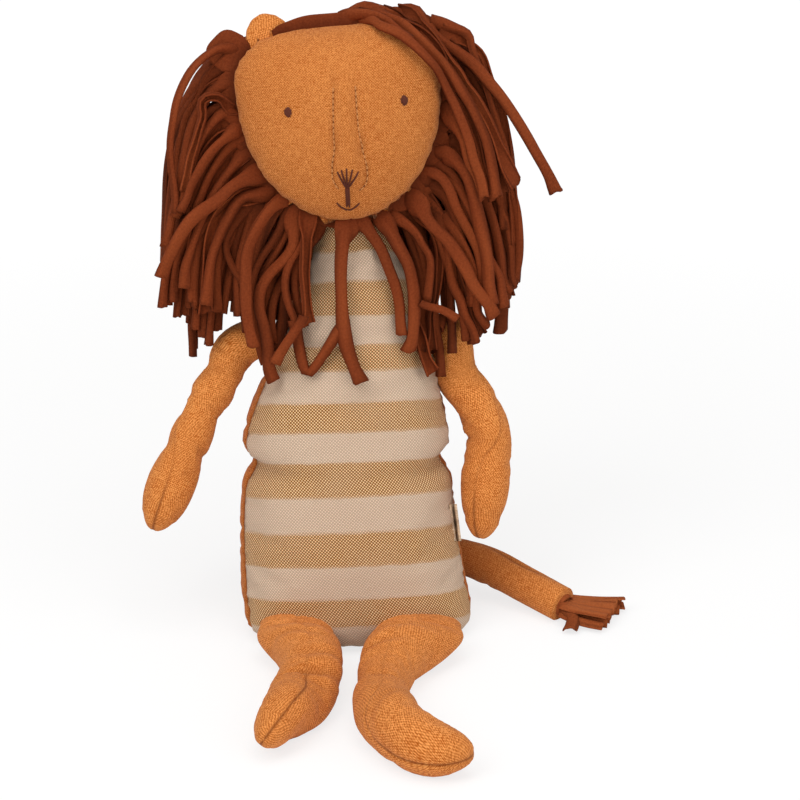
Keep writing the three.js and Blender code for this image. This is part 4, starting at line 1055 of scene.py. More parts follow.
for side, k in arms.items():
    root = jointAt[f"arm_{side}_swing"]
    line, length = smoothLine(root + np.array([[k["sign"] * o, -f, -d] for o, f, d in k["bend"]]), 200)
    high = lambda s: readTable(k["radius"], s)
    wide = lambda s: high(s) * (0.9 + 0.1 * np.exp(-s / 6) + 0.08 * np.clip((s - 46) / 16, 0, 1))
    # the seam lies outside on the upper arm and comes round to the front at the hand
    outside = lambda t: k["seamAt"] + 2.2 / (1 + math.exp((t - armLook["seamTurnsAt"]) * 16))
    seamWay = lambda t: unit(np.array([k["sign"] * outside(t), -1, 0]))
    skin, wear, _, _ = limbForm(f"arm_{side}", line, length, wide, high, armLook["tip"], seamWay, "ball",
                                armLook["columns"], None, k["creases"], armLook["plump"], 4.0 + k["sign"],
                                armLook["marked"])
    thing = closedForm(f"arm_{side}", skin, wear)
    finish(thing, ochreLinen, "ochre_linen", f"arm_{side}", f"arm_{side}_outer_panel",
           f"arm_{side}_inner_panel", f"arm_{side}_filling")
    armTrees.append(rayTree(skin))
print("arms made")

# the legs' half height by length, for both; how far a root goes back into the body where it is sewn
# in, and how far above the hinge it lies
legHigh = [[0, 6.5], [8, 10.4], [17, 11.6], [30, 10.6], [42, 9.4], [50, 9.2], [66, 11.4], [88, 11.2],
           [200, 10.6]]
legLook = {"back": 9.0, "above": 2.5, "tip": 26, "columns": 68, "plump": 0.5, "seamTurnsAt": 0.62,
           "bendsFrom": 6, "bendsTo": -10}
legs = {
    "right": {"sign": -1, "turn": 8, "seamTo": (0.5, -0.6, 1), "marked": 58,
              "wide": [[0, 16], [10, 14.6], [26, 12.6], [40, 12.8], [52, 12.6], [62, 11], [76, 9.4],
                       [200, 9]],
              "bend": [[0, 0], [4.5, 10], [7, 28], [4, 50], [-2, 70], [-8, 88]],
              "creases": [{"at": 46, "round": 10, "depth": 3.0, "wide": 2.2, "tilt": 7, "spread": 0.8},
                          {"at": 51, "round": 340, "depth": 0.8, "wide": 1.3, "tilt": 6, "spread": 0.4},
                          {"at": 30, "round": 330, "depth": 1.3, "wide": 1.6, "tilt": 4, "spread": 0.5},
                          {"at": 15, "round": 20, "depth": 1.0, "wide": 1.8, "tilt": -5, "spread": 0.5}]},
    "left": {"sign": 1, "turn": 0, "seamTo": (0, -1, -0.2), "marked": 90,
             "wide": [[0, 18.4], [10, 16], [28, 12], [46, 10.6], [62, 11.6], [80, 12.8], [96, 12],
                      [200, 11.6]],
             "bend": [[0, 0], [-8, 15], [-13, 32], [-14.5, 54], [-9.5, 76], [3.5, 93], [20, 99]],
             "creases": [{"at": 54, "round": 330, "depth": 1.6, "wide": 1.8, "tilt": -4, "spread": 0.6},
                         {"at": 27, "round": 40, "depth": 1.5, "wide": 1.6, "tilt": 6, "spread": 0.5},
                         {"at": 19, "round": 60, "depth": 1.3, "wide": 1.4, "tilt": 7, "spread": 0.4},
                         {"at": 12, "round": 10, "depth": 1.0, "wide": 1.8, "tilt": 4, "spread": 0.5},
                         {"at": 78, "round": 300, "depth": 0.6, "wide": 2.0, "tilt": 4, "spread": 0.5}]},
}
for side, k in legs.items():
    root = jointAt[f"leg_{side}_swing"]
    turn = math.radians(k["turn"])
    edge = np.array([math.cos(turn), k["sign"] * math.sin(turn), 0])
    run = runAlong(np.array(k["bend"], float))
    lie = readTable(legHigh, run) - 0.5
    hip = root + [0, 0, legLook["above"]]
    points = [hip + [0, legLook["back"], 0], hip]
    points += [[hip[0] + x, hip[1] - f, z] for (x, f), z in zip(k["bend"][1:], lie[1:])]
    line, length = smoothLine(points, 200)
    creases = [dict(c, at=c["at"] + legLook["back"]) for c in k["creases"]]
    wide = lambda s: readTable(k["wide"], s - legLook["back"])
    high = lambda s: readTable(legHigh, s - legLook["back"])
    # the seam lies on top and turns to another side at the foot
    up, aside = np.array([0, 0, 1.0]), np.array(k["seamTo"]) - [0, 0, 1]
    seamWay = lambda t: up + aside / (1 + math.exp((legLook["seamTurnsAt"] - t) * 18))
    skin, wear, _, _ = limbForm(f"leg_{side}", line, length, wide, high, legLook["tip"], seamWay, "edge",
                                legLook["columns"], 0.0, creases, legLook["plump"], 7.0 + k["sign"],
                                k["marked"], edge)
    thing = closedForm(f"leg_{side}", skin, wear)
    finish(thing, ochreLinen, "ochre_linen", None, f"leg_{side}_outer_panel", f"leg_{side}_inner_panel",
           f"leg_{side}_filling")
    # two places about the seam, one behind and one in front, in metres, which nothing uses; the leg is baked
    # where it stands
    start, end = ((hip + [0, y, 0]) * 0.001 for y in (legLook["bendsFrom"], legLook["bendsTo"]))
    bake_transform(thing)
print("legs made")

# the body's painted shadow darkens the tail towards its root; two long folds with painted shade lie on its
# top
tail = {"radius": [[0, 6.9], [30, 7.3], [55, 8.3], [76, 8.1], [200, 7]], "tip": 7.0, "darkOver": 58,
        "cloth": 0.7,
        "bend": [[0, 0, 15], [20, 4, 16], [42, -2, 16.5], [58, -9, 13.5], [73, -21, 9.8], [88, -34.5, 6.6]],
        "creases": [{"at": 34, "round": 200, "depth": 0.5, "wide": 1.6, "tilt": 2, "spread": 0.5},
                    {"at": 62, "round": 160, "depth": 0.6, "wide": 1.6, "tilt": 3, "spread": 0.4},
                    {"at": 84, "round": 240, "depth": 0.5, "wide": 1.4, "tilt": 3, "spread": 0.4}],
        "longFolds": [(300, 22, 78), (345, 44, 92)]}
root = jointAt["tail_swing"]
tailLine, tailLength = smoothLine([[root[0] + x, root[1] + y, z] for x, y, z in tail["bend"]], 200)
tailWide = lambda s: readTable(tail["radius"], s)
upwards = lambda t: np.array([0, 0, 1.0])
skin, wear, run, angle = limbForm("tail", tailLine, tailLength, tailWide, tailWide, 2.0, upwards, "ball",
                                  48, 0.0, tail["creases"], 0, 9.0, 200)
for turn, first, last in tail["longFolds"]:
    near = np.exp((np.cos(angle[None] - math.radians(turn) - 0.25 * np.sin(run[:, None] / 9)) - 1) / 0.012)
    near = near / (1 + np.exp((first - run[:, None]) / 4)) / (1 + np.exp((run[:, None] - last) / 4))
    skin = skin - gridNormals(skin) * (0.8 * near)[..., None]
    # painted shade in the folds
    wear = np.maximum(wear, 0.75 * near)
# the body's shadow, painted over the root
wear = np.maximum(wear, np.exp(-(np.maximum(run, 0) / tail["darkOver"])[:, None] ** 2))
skin[..., 2] = np.maximum(skin[..., 2], 0)
thing = closedForm("tail", skin, wear)
finish(thing, ochreLinen, "ochre_linen", "tail", "tail_tube", "tail_filling")
print("tail made")


# mane: ten bands of jersey sewn into the head's seam, each cut into strips whose edges curl. A strip
# that starts lower in the picture than covered comes out from under others
mane = {"thick": 0.7, "curl": 4.9, "narrow": 0.77, "flare": 0.24, "flareLength": 4, "sewn": 4, "comesOut": 16,
        "sink": -1.6, "covered": 290, "perPixel": 0.42, "uncut": 8, "wide": 10.5, "step": 6.0, "clear": 2.6,
        "leanBack": 0.9}
obstacles = [headTree, bodyTree] + armTrees


def keepClear(points, margins, trees):
    # moves points out of the stuffed forms, to a distance from the nearest cloth; a point with no
    # margin stays, as the sewn end of a strip does
    out = np.array(points, float)
    margins = np.broadcast_to(margins, (len(out),))
    for k, p in enumerate(out):
        margin = float(margins[k])
        for tree in trees if margin > 0 else []:
            spot, n, _, far = tree.find_nearest(Vector(p), 30)
            if spot is None:
                continue
            away = Vector(p) - spot
            if away.dot(n) < 0:
                p[:] = spot + n * margin
            elif far < margin:
                p[:] = spot + (away / max(far, 1e-6)) * margin
    return out


def ease(k):
    # rises softly from 0 to 1
    k = np.clip(k, 0, 1)
    return k * k * (3 - 2 * k)


def ribbon(line, length, wide, curl, spin, facing, slant, shade, curlFrom, curlOver, seed, sense=1,
           opening=0.22):
    # a strip of jersey: across it an arc of radius width / curl angle, flat at the root and curling up
    # further down, carried along the line and slowly turned about it; the far end opens by a share
    rows, cols = max(14, int(length / 2.3)), 17
    t = np.linspace(0, 1, rows)[:, None]
    x = np.linspace(-0.5, 0.5, cols)[None]
    s = t * (1 + slant * x * wide / length + 0.006 * np.sin(9 * x + seed))
    along = unit(np.gradient(line, axis=0))
    side = unit(np.cross(along, np.broadcast_to(facing, line.shape)))
    out = np.cross(side, along)
    at, side, out = evenAt(line, s), unit(evenAt(side, s)), unit(evenAt(out, s))
    mm = s * length
    flat = max(0.8, 2.3 - 0.15 * curlFrom)
    phi = flat + (curl - flat) * ease((mm - curlFrom) / curlOver)
    last = mane["flareLength"] * (1 + 5 * opening)
    phi = phi * (1 - opening * ease((mm - length + last) / last))
    phi = phi * (1 + 0.07 * np.sin(mm / 5.3 + seed))
    w = wide * (1 + 0.05 * np.sin(mm / 8.1 + 2 * seed) + 0.04 * ease((mm - length + 4) / 4))
    turn = spin * ease((mm - 2) / 22) + 0.5 * np.sin(mm / 19 + seed) * ease(mm / 25)
    # a few low ridges run along it
    r = w / phi * (1 + 0.15 * np.sin(13 * x + 2.1 * seed + 0.4 * np.sin(mm / 17)) * ease(mm / 12))
    px = r * np.sin(phi * x)
    py = r * (np.cos(phi * x) - np.sin(phi / 2) / (phi / 2)) * sense
    qx = px * np.cos(turn) - py * np.sin(turn)
    qy = px * np.sin(turn) + py * np.cos(turn)
    grid = at + side * qx[..., None] + out * qy[..., None]
    uv = np.stack([np.broadcast_to(x * wide, s.shape), mm], -1)
    # painted highlight on the cut edges, painted shade on the rolled sides and at the sewn end, and a slow
    # change of tone along it
    rim = -0.4 * np.exp(-((0.5 - np.abs(x)) / 0.035) ** 2) * ease((mm - 5) / 10)
    rim = rim + 0.34 * ease((np.abs(x) - 0.24) / 0.14) * ease((mm - curlFrom) / 8)
    sewn = 0.3 * np.exp(-(mm / 4) ** 2)
    return grid, uv, np.clip(shade + rim + sewn + 0.12 * np.sin(mm / 13 + 3 * seed), -0.6, 0.9)


def sheetMesh(name, grids, thick):
    # open strips in one mesh, then given a thickness
    points, faces, uv, shade, at = [], [], [], [], 0
    for g, m, d in grids:
        points.append(g.reshape(-1, 3))
        uv.append(m.reshape(-1, 2))
        shade.append(np.broadcast_to(d, g.shape[:2]).ravel())
        faces.append(gridFaces(g.shape[0], g.shape[1], False, at))
        at += g.shape[0] * g.shape[1]
    thing = meshOf(name, np.vstack(points), [np.vstack(faces)], np.vstack(uv), np.concatenate(shade))
    wall = thing.modifiers.new("wall", "SOLIDIFY")
    wall.thickness, wall.offset = thick * 0.001, 0
    return thing


def traced(points, lift, crosses):
    # a strip seen in the picture: each place goes back along its line of sight to a plane parallel to
    # the head's seam, just behind it at the sewn end and coming forward from there, or to just in
    # front of what lies there. Only a strip that crosses the face has the head before it
    p = np.array(points, float)
    d = sight(p[:, 0], p[:, 1])
    run = runAlong(p) * mane["perPixel"]
    come = np.clip(run / mane["comesOut"], 0, 1) ** 0.8 if p[0, 1] <= mane["covered"] else np.ones(len(p))
    ahead = mane["sink"] + (lift - mane["sink"]) * come
    reach = ((headAt - eyeAt) @ headFront + ahead) / (d @ headFront)
    for k in range(len(p)):
        for tree in obstacles if crosses else obstacles[1:]:
            hit, _, _, far = tree.ray_cast(Vector(eyeAt), Vector(d[k]))
            if hit is not None and run[k] > mane["sewn"]:
                reach[k] = min(reach[k], far - 3.0 - max(0, lift) * 0.5)
    smooth = np.r_[reach[:1], (reach[:-2] + 2 * reach[1:-1] + reach[2:]) / 4, reach[-1:]]
    reach = np.minimum(reach, smooth)
    line, length = smoothLine(eyeAt + d * reach[:, None], 60)
    margins = mane["clear"] * np.clip((np.linspace(0, length, 60) - mane["sewn"]) / 8, 0, 1)
    line = keepClear(line, margins, obstacles)
    line[1:-1] = (line[:-2] + 2 * line[1:-1] + line[2:]) / 4
    return line, length


# width in the picture, how far it stands before the seam, where it starts to curl, how far it turns,
# its painted shade, deeper for strips lying behind, the places it passes and, for some, how far its end opens
frontStrips = {
    "mane_top_right": [
        (8, 3, 4, 0.6, 0.0, [(240, 50), (221, 48), (209, 54), (195, 67), (184, 86), (177, 105), (174, 121),
         (171.5, 137), (171, 150), (172, 166), (176, 191), (177, 214)]),
        (8, -4, 8, -0.8, 0.35, [(224, 66), (207, 77), (198, 99), (187, 115), (182, 132), (178, 147),
         (176, 161), (178, 190), (180, 214)]),
        (9, 0, 6, 0.9, 0.1, [(236, 80), (214, 92), (199, 112), (190, 132), (186, 152), (182, 172),
         (176, 200), (171, 224), (167, 250)]),
        (9, -5, 6, 0.3, 0.4, [(230, 60), (205, 84), (192, 106), (184, 128), (178, 150), (173, 180),
         (169, 214), (167, 244)]),
    ],
    "mane_side_right": [
        (9, 4, 3, 0.7, 0.0, [(240, 106), (233, 110), (220, 97), (206, 97), (201, 103), (202.6, 115),
         (199, 128), (195, 143), (190, 159), (187, 175), (184, 191)]),
        (10, 2, 9, 0.4, 0.0, [(243, 118), (239, 121), (226, 112), (214, 121), (203, 135.5), (196, 151),
         (192, 169), (188, 187), (182, 206), (175.5, 218)]),
        (9, 5, 7, -0.5, 0.05, [(246, 126), (239, 128), (226.5, 137), (214, 148), (204, 161), (198, 172),
         (191, 185), (187, 198), (180, 212)]),
        (9, 0, 8, 0.8, 0.15, [(252, 134), (246, 136), (230, 147), (220, 159.5), (212, 172), (206, 185),
         (201, 198), (195, 214)]),
        (9, -3, 6, 0.2, 0.25, [(248, 142), (232, 158), (218, 176), (208, 196), (200, 216), (194, 238),
         (189, 262), (187, 284)]),
        (9, -5, 6, 1.2, 0.35, [(246, 130), (226, 150), (210, 172), (200, 196), (190, 220), (182, 246),
         (178, 272), (176, 292)]),
        (10, 1, 6, -0.9, 0.1, [(250, 148), (234, 166), (222, 182), (212, 199), (203, 216), (196, 234),
         (190, 250), (184, 268), (182, 288)]),
    ],
    "mane_lower_right": [
        (13, 6, 12, 0.3, 0.0, [(270, 170), (262, 172), (246, 178.6), (230, 188), (218.6, 199.6),
         (202.6, 210.7), (193, 218.7), (182, 233), (174, 247.4), (167.5, 261.8), (162, 278)]),
        (11, 3, 8, -0.6, 0.1, [(277.5, 190), (260, 195), (245.7, 196), (236, 204), (229.7, 215.5),
         (223, 228), (217, 242.6), (212, 257), (209, 273), (206.6, 289), (204, 305)]),
        (13, 7, 8, 0.4, 0.0, [(293.5, 195), (274, 206), (261.6, 222), (252, 239.4), (247, 253.8),
         (245.7, 269.7), (245.7, 285.7), (245.7, 301.6), (247, 317.5), (250, 333.5), (253.6, 348)]),
        (12, 2, 14, 0.5, 0.1, [(298, 199.6), (296, 222), (293.5, 246), (284, 260), (271, 273), (261.6, 289),
         (260, 308), (265, 327), (269, 346), (271, 368.6), (276, 380)]),
        (10, -3, 8, 0.2, 0.4, [(262, 200), (252, 217), (246, 236), (240, 262), (238, 290), (240, 316)]),
        (9, -2, 8, 0.9, 0.35, [(256, 196), (226.5, 242.6), (233, 266.5), (241, 279), (250, 300)]),
        (9, -1, 8, 0.4, 0.15, [(250, 190), (224, 206), (204, 228), (190, 254), (190, 278), (192, 302)]),
        (9, -2, 8, 1.0, 0.1, [(256, 194), (226, 204), (208, 222), (199, 246), (196, 270), (195.5, 294),
         (198, 308)]),
        (11, 0, 8, -0.4, 0.05, [(262, 194), (238, 200), (220, 214), (210.6, 238), (207, 262), (205, 286),
         (206, 314)]),
        (8, -3, 8, 0.5, 0.2, [(268, 194), (246, 206), (230, 228), (220, 256), (217, 284), (218, 312)]),
        (8, -4, 8, -0.7, 0.3, [(258, 186), (222, 196), (196, 222), (180, 250), (174, 276), (172, 302)]),
        (9, -4, 8, 0.1, 0.25, [(246, 172), (214, 190), (190, 214), (176, 244), (166, 276), (163, 308)]),
        (8, -5, 8, 0.6, 0.3, [(262, 188), (236, 204), (216, 232), (204, 266), (198, 302), (196, 330)]),
        (8, -5, 8, 0.9, 0.35, [(270, 192), (248, 212), (230, 244), (218, 280), (211, 318), (209, 346)]),
        (10, -6, 8, -0.8, 0.45, [(280, 196), (262, 226), (250, 258), (246, 286), (244, 312)]),
        (9, -6, 8, 0.3, 0.5, [(272, 196), (250, 224), (236, 256), (228, 288), (224, 314)]),
    ],
    "mane_chin": [
        (12, 5, 10, 0.4, 0.0, [(310, 204), (308, 214), (306, 230), (304, 254), (303, 270), (304, 286),
         (305.5, 301.6), (307, 317.5), (308, 326)]),
        (9, 3, 6, -0.8, 0.05, [(312, 212), (310, 228), (303, 242.6), (290, 262), (285, 279), (285.5, 295),
         (290, 311), (296.7, 327)]),
        (11, 3, 10, 0.3, 0.05, [(346, 318), (343, 324), (338, 332), (322, 356), (308, 373), (303, 362),
         (300, 349.6), (296.7, 333.5), (294, 320)]),
        (11, 8, 0, 0.4, 0.0, [(304, 316), (303, 319), (293.5, 333.5), (282, 351), (275, 364)]),
        (14, 6, 16, 0.2, 0.0, [(346, 205), (348, 222), (344, 250), (342.5, 275), (343, 300), (344, 325),
         (346, 345), (352, 365), (360, 384)]),
        (11, 4, 10, -0.3, 0.05, [(352, 208), (360, 220), (372, 236), (381, 250), (389, 270), (395, 286),
         (399, 305), (400, 322), (401, 336)]),
        (9, -3, 8, 0.4, 0.4, [(322, 212), (316, 236), (296, 262), (278, 290), (272, 318), (275, 344)]),
        (9, -3, 8, 0.8, 0.45, [(300, 208), (284, 240), (268, 268), (257, 292), (256, 314), (260, 330)]),
    ],
    "mane_lower_left": [
        (13, 7, 8, 0.3, 0.0, [(376, 210), (382.7, 219.5), (388, 226), (398.7, 246), (408, 265),
         (412, 283.7), (413.5, 303.8), (412.8, 324), (411.5, 340), (407, 353)]),
        (9, 4, 6, -0.5, 0.05, [(388, 212), (394.7, 218), (407, 225), (417.5, 235.5), (421.5, 243.6),
         (429.5, 257), (430, 273), (428, 289), (426, 302)]),
        (9, -1, 6, 0.4, 0.35, [(414, 208), (430, 226), (437.6, 246), (437.6, 265), (436, 283.7),
         (433.6, 300), (429.5, 313), (430, 330.6), (430, 350)]),
        (8, 8, 0, 0.2, 0.05, [(420, 303), (421.5, 304), (430, 307), (439, 309), (448, 313), (457.7, 319)]),
        (12, 2, 2, 0.5, 0.1, [(412, 312), (416, 326), (420, 337), (425.5, 357), (433.6, 373)]),
        (13, 7, 12, -0.4, 0.0, [(404, 198), (415, 201), (423, 215), (433.6, 227.5), (447, 241),
         (457.7, 257), (465.7, 270), (473.7, 286), (482, 297), (488.5, 305), (495, 318)]),
        (8, -2, 6, 0.7, 0.3, [(414, 196), (424, 198), (436, 207), (444, 219.5), (448, 234), (452, 256),
         (456, 280)]),
        (9, -1, 6, 0.2, 0.2, [(420, 200), (432, 224), (441.6, 249), (447, 265), (455, 286.4),
         (461.7, 310.5), (465.7, 341)]),
        (10, 1, 4, -0.7, 0.1, [(444, 214), (460, 240), (473.7, 270), (476.4, 292), (476.4, 310.5),
         (484.5, 324), (488, 328)]),
        (9, 0, 4, 0.5, 0.15, [(436, 212), (446, 246), (454, 283.7), (462, 300), (466, 315), (473.7, 329),
         (478, 343)]),
        (9, -4, 4, 0.9, 0.4, [(400, 208), (410, 238), (420, 268), (424, 298), (424, 328), (428, 352)]),
        (9, -4, 4, 0.1, 0.4, [(426, 196), (446, 226), (460, 262), (468, 300), (470, 330)]),
    ],
    "mane_side_left": [
        (11, 3, 8, 0.3, 0.05, [(428, 186), (425, 172), (440, 176), (450, 190), (455, 204.7), (463, 221),
         (472, 237), (479, 253), (482, 270), (484, 292)]),
        (13, 6, 8, -0.3, 0.0, [(436, 158), (441.7, 153), (455.8, 162.8), (464, 174), (470, 189),
         (474, 203.5), (479, 223.5), (484.5, 243.6), (488.5, 263.7), (489.8, 283.7), (492.5, 305)]),
        (11, 1, 6, 0.8, 0.1, [(440, 168), (458, 186), (470, 208), (479, 232), (490, 258), (500, 277),
         (502, 290), (505, 307)]),
        (10, -2, 6, 0.4, 0.2, [(448, 150), (468, 166), (482, 190), (494, 222), (500, 252), (504, 283.7),
         (510, 293)]),
        (10, -4, 6, 1.1, 0.3, [(450, 140), (474, 160), (494, 188), (506, 218), (512, 250), (513, 277),
         (516, 285)]),
        (10, -5, 6, -0.6, 0.3, [(452, 132), (478, 148), (500, 172), (514, 201), (519, 230), (519, 257),
         (514, 282)]),
        (11, -1, 6, 0.5, 0.2, [(430, 182), (442, 190), (452, 208), (460, 230), (468, 256), (472, 284),
         (474, 306)]),
        (9, -5, 6, 0.4, 0.4, [(440, 172), (456, 196), (468, 224), (474, 254), (474, 284), (478, 306)]),
        (10, -6, 6, 0.8, 0.5, [(444, 160), (466, 186), (482, 214), (492, 246), (496, 276), (500, 300)]),
    ],
    "mane_top_left": [
        (9, -1, 12, 0.5, 0.1, [(344, 22), (356, 15), (368, 10), (380, 9), (396, 14), (414, 25), (432, 38),
         (446, 52)]),
        (10, 9, 4, 0.3, 0.0, [(352, 18), (370, 21), (384, 27), (398, 32), (415, 45), (426, 56), (436, 67),
         (441.7, 77), (447, 88), (456, 106.6), (464, 126), (470, 143), (474, 161), (481, 179.6),
         (484, 198)]),
        (10.5, 7, 4, -0.4, 0.0, [(366, 12), (383, 16), (401, 22), (416.5, 35), (430.5, 49), (443, 63),
         (453, 78.6), (460, 91), (470, 106.6), (478, 123.5), (484, 137.5), (488, 154), (492, 175),
         (495, 198)]),
        (11, 5, 6, 0.3, 0.05, [(398, 12), (408, 14), (418, 25), (426, 36.5), (439, 48), (449, 62),
         (458.6, 73), (464, 84), (475, 98), (485, 115), (492, 130.5), (499, 149), (507, 168),
         (517, 186)], 0.85),
        (11, 1, 4, 0.3, 0.0, [(404, 14), (415, 14), (429, 29.5), (443, 42), (458.6, 52), (475, 64.5),
         (488, 80), (500.7, 95), (514.7, 115), (527, 134.7), (538.6, 156), (548, 172.6), (558, 193)]),
        (10, -2, 6, 0.9, 0.1, [(430, 20), (453, 27), (470, 34), (473, 48), (478, 62), (486, 84), (494, 110),
         (500.7, 130), (506, 150), (510, 172)]),
        (10, -4, 6, 0.5, 0.2, [(440, 30), (464, 42), (480, 54), (488, 76), (497, 100), (504, 124),
         (508, 150), (511, 180), (514, 210), (515, 244)]),
        (10, 5, 10, 0.2, 0.0, [(444, 100), (450, 112), (456, 126), (463, 140), (467, 158.6), (475, 182),
         (479, 202)]),
        (10, 3, 4, 0.4, 0.1, [(434, 60), (448, 78), (460, 104), (470, 130), (479, 156), (487, 180),
         (494, 200)]),
        (10, -4, 4, -0.6, 0.35, [(438, 50), (458, 76), (474, 104), (487, 134), (496, 164), (500, 196),
         (502, 230)]),
        (10, -6, 4, 0.6, 0.45, [(446, 44), (470, 66), (488, 96), (500, 128), (507, 160), (509, 196),
         (508, 230)]),
        (9, 6, 3, 0.2, 0.05, [(340, 20), (356, 14), (370, 14), (386, 20), (398, 30), (412, 42)]),
    ],
}


def between(strips):
    # a narrower strip with painted shade behind every two near ones that run side by side, half way between
    found = []
    for step in (1, 2):
        for k in range(len(strips) - step):
            a, b = (smoothLine(strips[i][5], 14)[0] for i in (k, k + step))
            away = np.linalg.norm(a - b, axis=1)
            if max(a[0, 1], b[0, 1]) < mane["covered"] and away.max() < 41 and away.mean() > 5:
                lift = min(strips[k][1], strips[k + step][1]) - 2.5
                found.append((8.5, lift, 6, 0.7 * float(wander(k, 2.0)), 0.55,
                              [tuple(q) for q in (a + b) / 2 + 1.5 * wander(k, 9.0)]))
    return found


def drop(start, direction, length, fall, lift, seed):
    # a strip out of the picture: it leaves along a direction, weight turns it down step by step, and
    # what it meets carries it
    path, d = [np.array(start, float)], unit(direction)
    steps = max(5, int(length / mane["step"]))
    for k in range(steps):
        aside, ahead = 0.04 * float(wander(seed, k)), 0.04 * float(wander(k, seed))
        d = unit(d + [aside, ahead, -fall * mane["step"] / 18])
        path.append(keepClear((path[-1] + d * length / steps)[None], lift, obstacles)[0])
        d = unit(path[-1] - path[-2] + d * 0.001)
    return smoothLine(path, 60)


def seamBand(first, last, width, back, seed):
    # the sewn edge of a band: it comes out of the seam flat, narrows to nothing at both ends and
    # bends back by a parabola
    a = np.linspace(first, last, max(12, int((last - first) / 1.5)))
    u, v, o = edgeOut(a)
    w = np.linspace(-0.3, 1, 9)[None]
    broad = width * np.sin(np.pi * np.clip((a - first) / (last - first), 0.02, 0.98)) ** 0.35
    out = np.where(w < 0, 6 * w, w * (broad * (1 + 0.05 * np.sin(a / 3.1 + seed)))[:, None])
    waved = 0.25 * np.sin(a / 4.0 + seed)[:, None] * np.clip(out / width, 0, 1)
    n = back - 0.012 * np.maximum(out, 0) ** 2 + waved
    grid = onHead(u[:, None] + o[:, :1] * out, v[:, None] + o[:, 1:] * out, n)
    uv = np.stack(np.broadcast_arrays(runAlong(grid[:, 3])[:, None], out), -1)
    # painted shade over the band, deepest where it comes out of the seam
    return grid, uv, 0.1 + 0.35 * np.exp(-(np.maximum(out, 0) / 3) ** 2)


cuts = []    # band, cut width and length of every strip so far


def addStrip(band, line, length, wide, curl, spin, facing, *shape):
    # one more strip of a band, its end cut a little aslant
    slant = 0.5 * float(wander(len(cuts)))
    bandGrids[band].append(ribbon(line, length, wide, curl, spin, facing, slant, *shape))
    cuts.append((band, wide, length))


# bands: first and last angle round the face, width, more strips behind, their forward lean and length
bands = {
    "mane_chin": (246, 294, 4, 0, 0.2, 62), "mane_lower_right": (200, 247, 8, 6, 0.1, 56),
    "mane_lower_left": (293, 340, 9, 4, 0.1, 80), "mane_side_right": (162, 201, 8, 6, -0.1, 92),
    "mane_side_left": (-22, 17, 9, 5, -0.1, 104), "mane_top_right": (134, 164, 14, 5, -0.3, 108),
    "mane_top_left": (14, 88, 7, 9, -0.3, 116),
}
bandGrids = {}
for name, (first, last, width, behind, lean, longest) in bands.items():
    bandGrids[name] = [seamBand(first, last, width, -0.9, len(name))]
    filled = between(frontStrips[name]) if name != "mane_top_right" else []
    for w, lift, curlFrom, spin, shade, points, *opening in frontStrips[name] + filled:
        count = len(cuts)
        line, length = traced(points, lift, name == "mane_top_left" and lift >= 6)
        curlFrom = -30 if points[0][1] > mane["covered"] else curlFrom
        curl = mane["curl"] * (0.85 + 0.18 * float(wander(count, 6.0)))
        wide = w * mane["narrow"] * mane["perPixel"] / 2 * curl
        addStrip(name, line, length, wide, curl, spin * 0.8, headFront, shade * 0.6, curlFrom * 0.6, 10,
                 count * 1.7, -1 if wander(count, 4.0) > 0.6 else 1, *(opening or [mane["flare"]]))
    for k in range(behind):
        degrees = first + (last - first) * (k + 0.5 + 0.25 * float(wander(k, first))) / behind
        u, v, o = edgeOut(degrees)
        aside = 0.7 * np.sign(o[0]) if math.sin(math.radians(degrees)) > 0.3 else 0
        leave = headSide * (o[0] + aside) + headUp * ((0.4 if o[1] > 0 else 1) * o[1]) + headFront * lean
        wide = mane["wide"] * (1 + 0.12 * float(wander(k, last)))
        length = longest * (1 + 0.1 * float(wander(k, 7.7)))
        for deep, share, clear in ((-4.5, 1, 4.5), (-10.5, 0.92, 3.2)):
            start = onHead(u + o[0] * 1.5, v + o[1] * 1.5, deep)
            line, run = drop(start, leave, length * share, 1.0, clear, degrees + deep)
            facing = unit(line - headAt - [0, 12, 0]) * [1, 1, 0.2]
            # the strips behind the front ones get painted shade
            addStrip(name, line, run, wide, mane["curl"], 0.8 * float(wander(k, deep)), facing, 0.3, 5, 15,
                     len(cuts) * 1.3)

# back of the head: two layers down the sides of the nape, and the crown's three that cover them. First
# and last angle, share of the seam's size, less per layer, layers, strips in each, lift per layer,
# length and fall
rearBands = {
    "mane_nape_right": (178, 258, 0.72, 0.3, 2, 12, 2.6, 72, 0.9),
    "mane_nape_left": (-78, 2, 0.72, 0.3, 2, 12, 2.6, 72, 0.9),
    "mane_crown": (26, 154, 0.97, 0.2, 3, 20, 1.4, 92, 1.7),
}
for name, (first, last, scale, less, layers, many, rise, longest, fall) in rearBands.items():
    bandGrids[name] = [seamBand(58, 115, 5.0, 1.3, 2.0)] if name == "mane_crown" else []
    for layer in range(layers):
        for k in range(many):
            degrees = first + (last - first) * (k + 0.5 + 0.3 * float(wander(k, layer))) / many
            u, v, o = edgeOut(degrees, scale * (1 - less * layer))
            across, deep = headHalf(v)
            back = -deep * math.sqrt(max(0, 1 - min(1, abs(u) / across) ** 2)) - 0.5
            wide = mane["wide"] * (1 + 0.12 * float(wander(k, last + layer)))
            length = longest * (1 + 0.14 * float(wander(k, 3.3 + layer))) * (1 + 0.12 * layer)
            leave = headSide * o[0] + headUp * 0.4 * o[1] - headFront * mane["leanBack"]
            line, run = drop(onHead(u, v, back), leave, length, fall, 3.2 + rise * layer, degrees + layer)
            facing = unit(line - headAt - [0, 6, 0]) * [1, 1, 0.25]
            # a little painted shade on the strips at the back of the head
            addStrip(name, line, run, wide, mane["curl"], 0.8 * float(wander(k, layer)), facing, 0.08, 4, 14,
                     len(cuts) * 1.3)

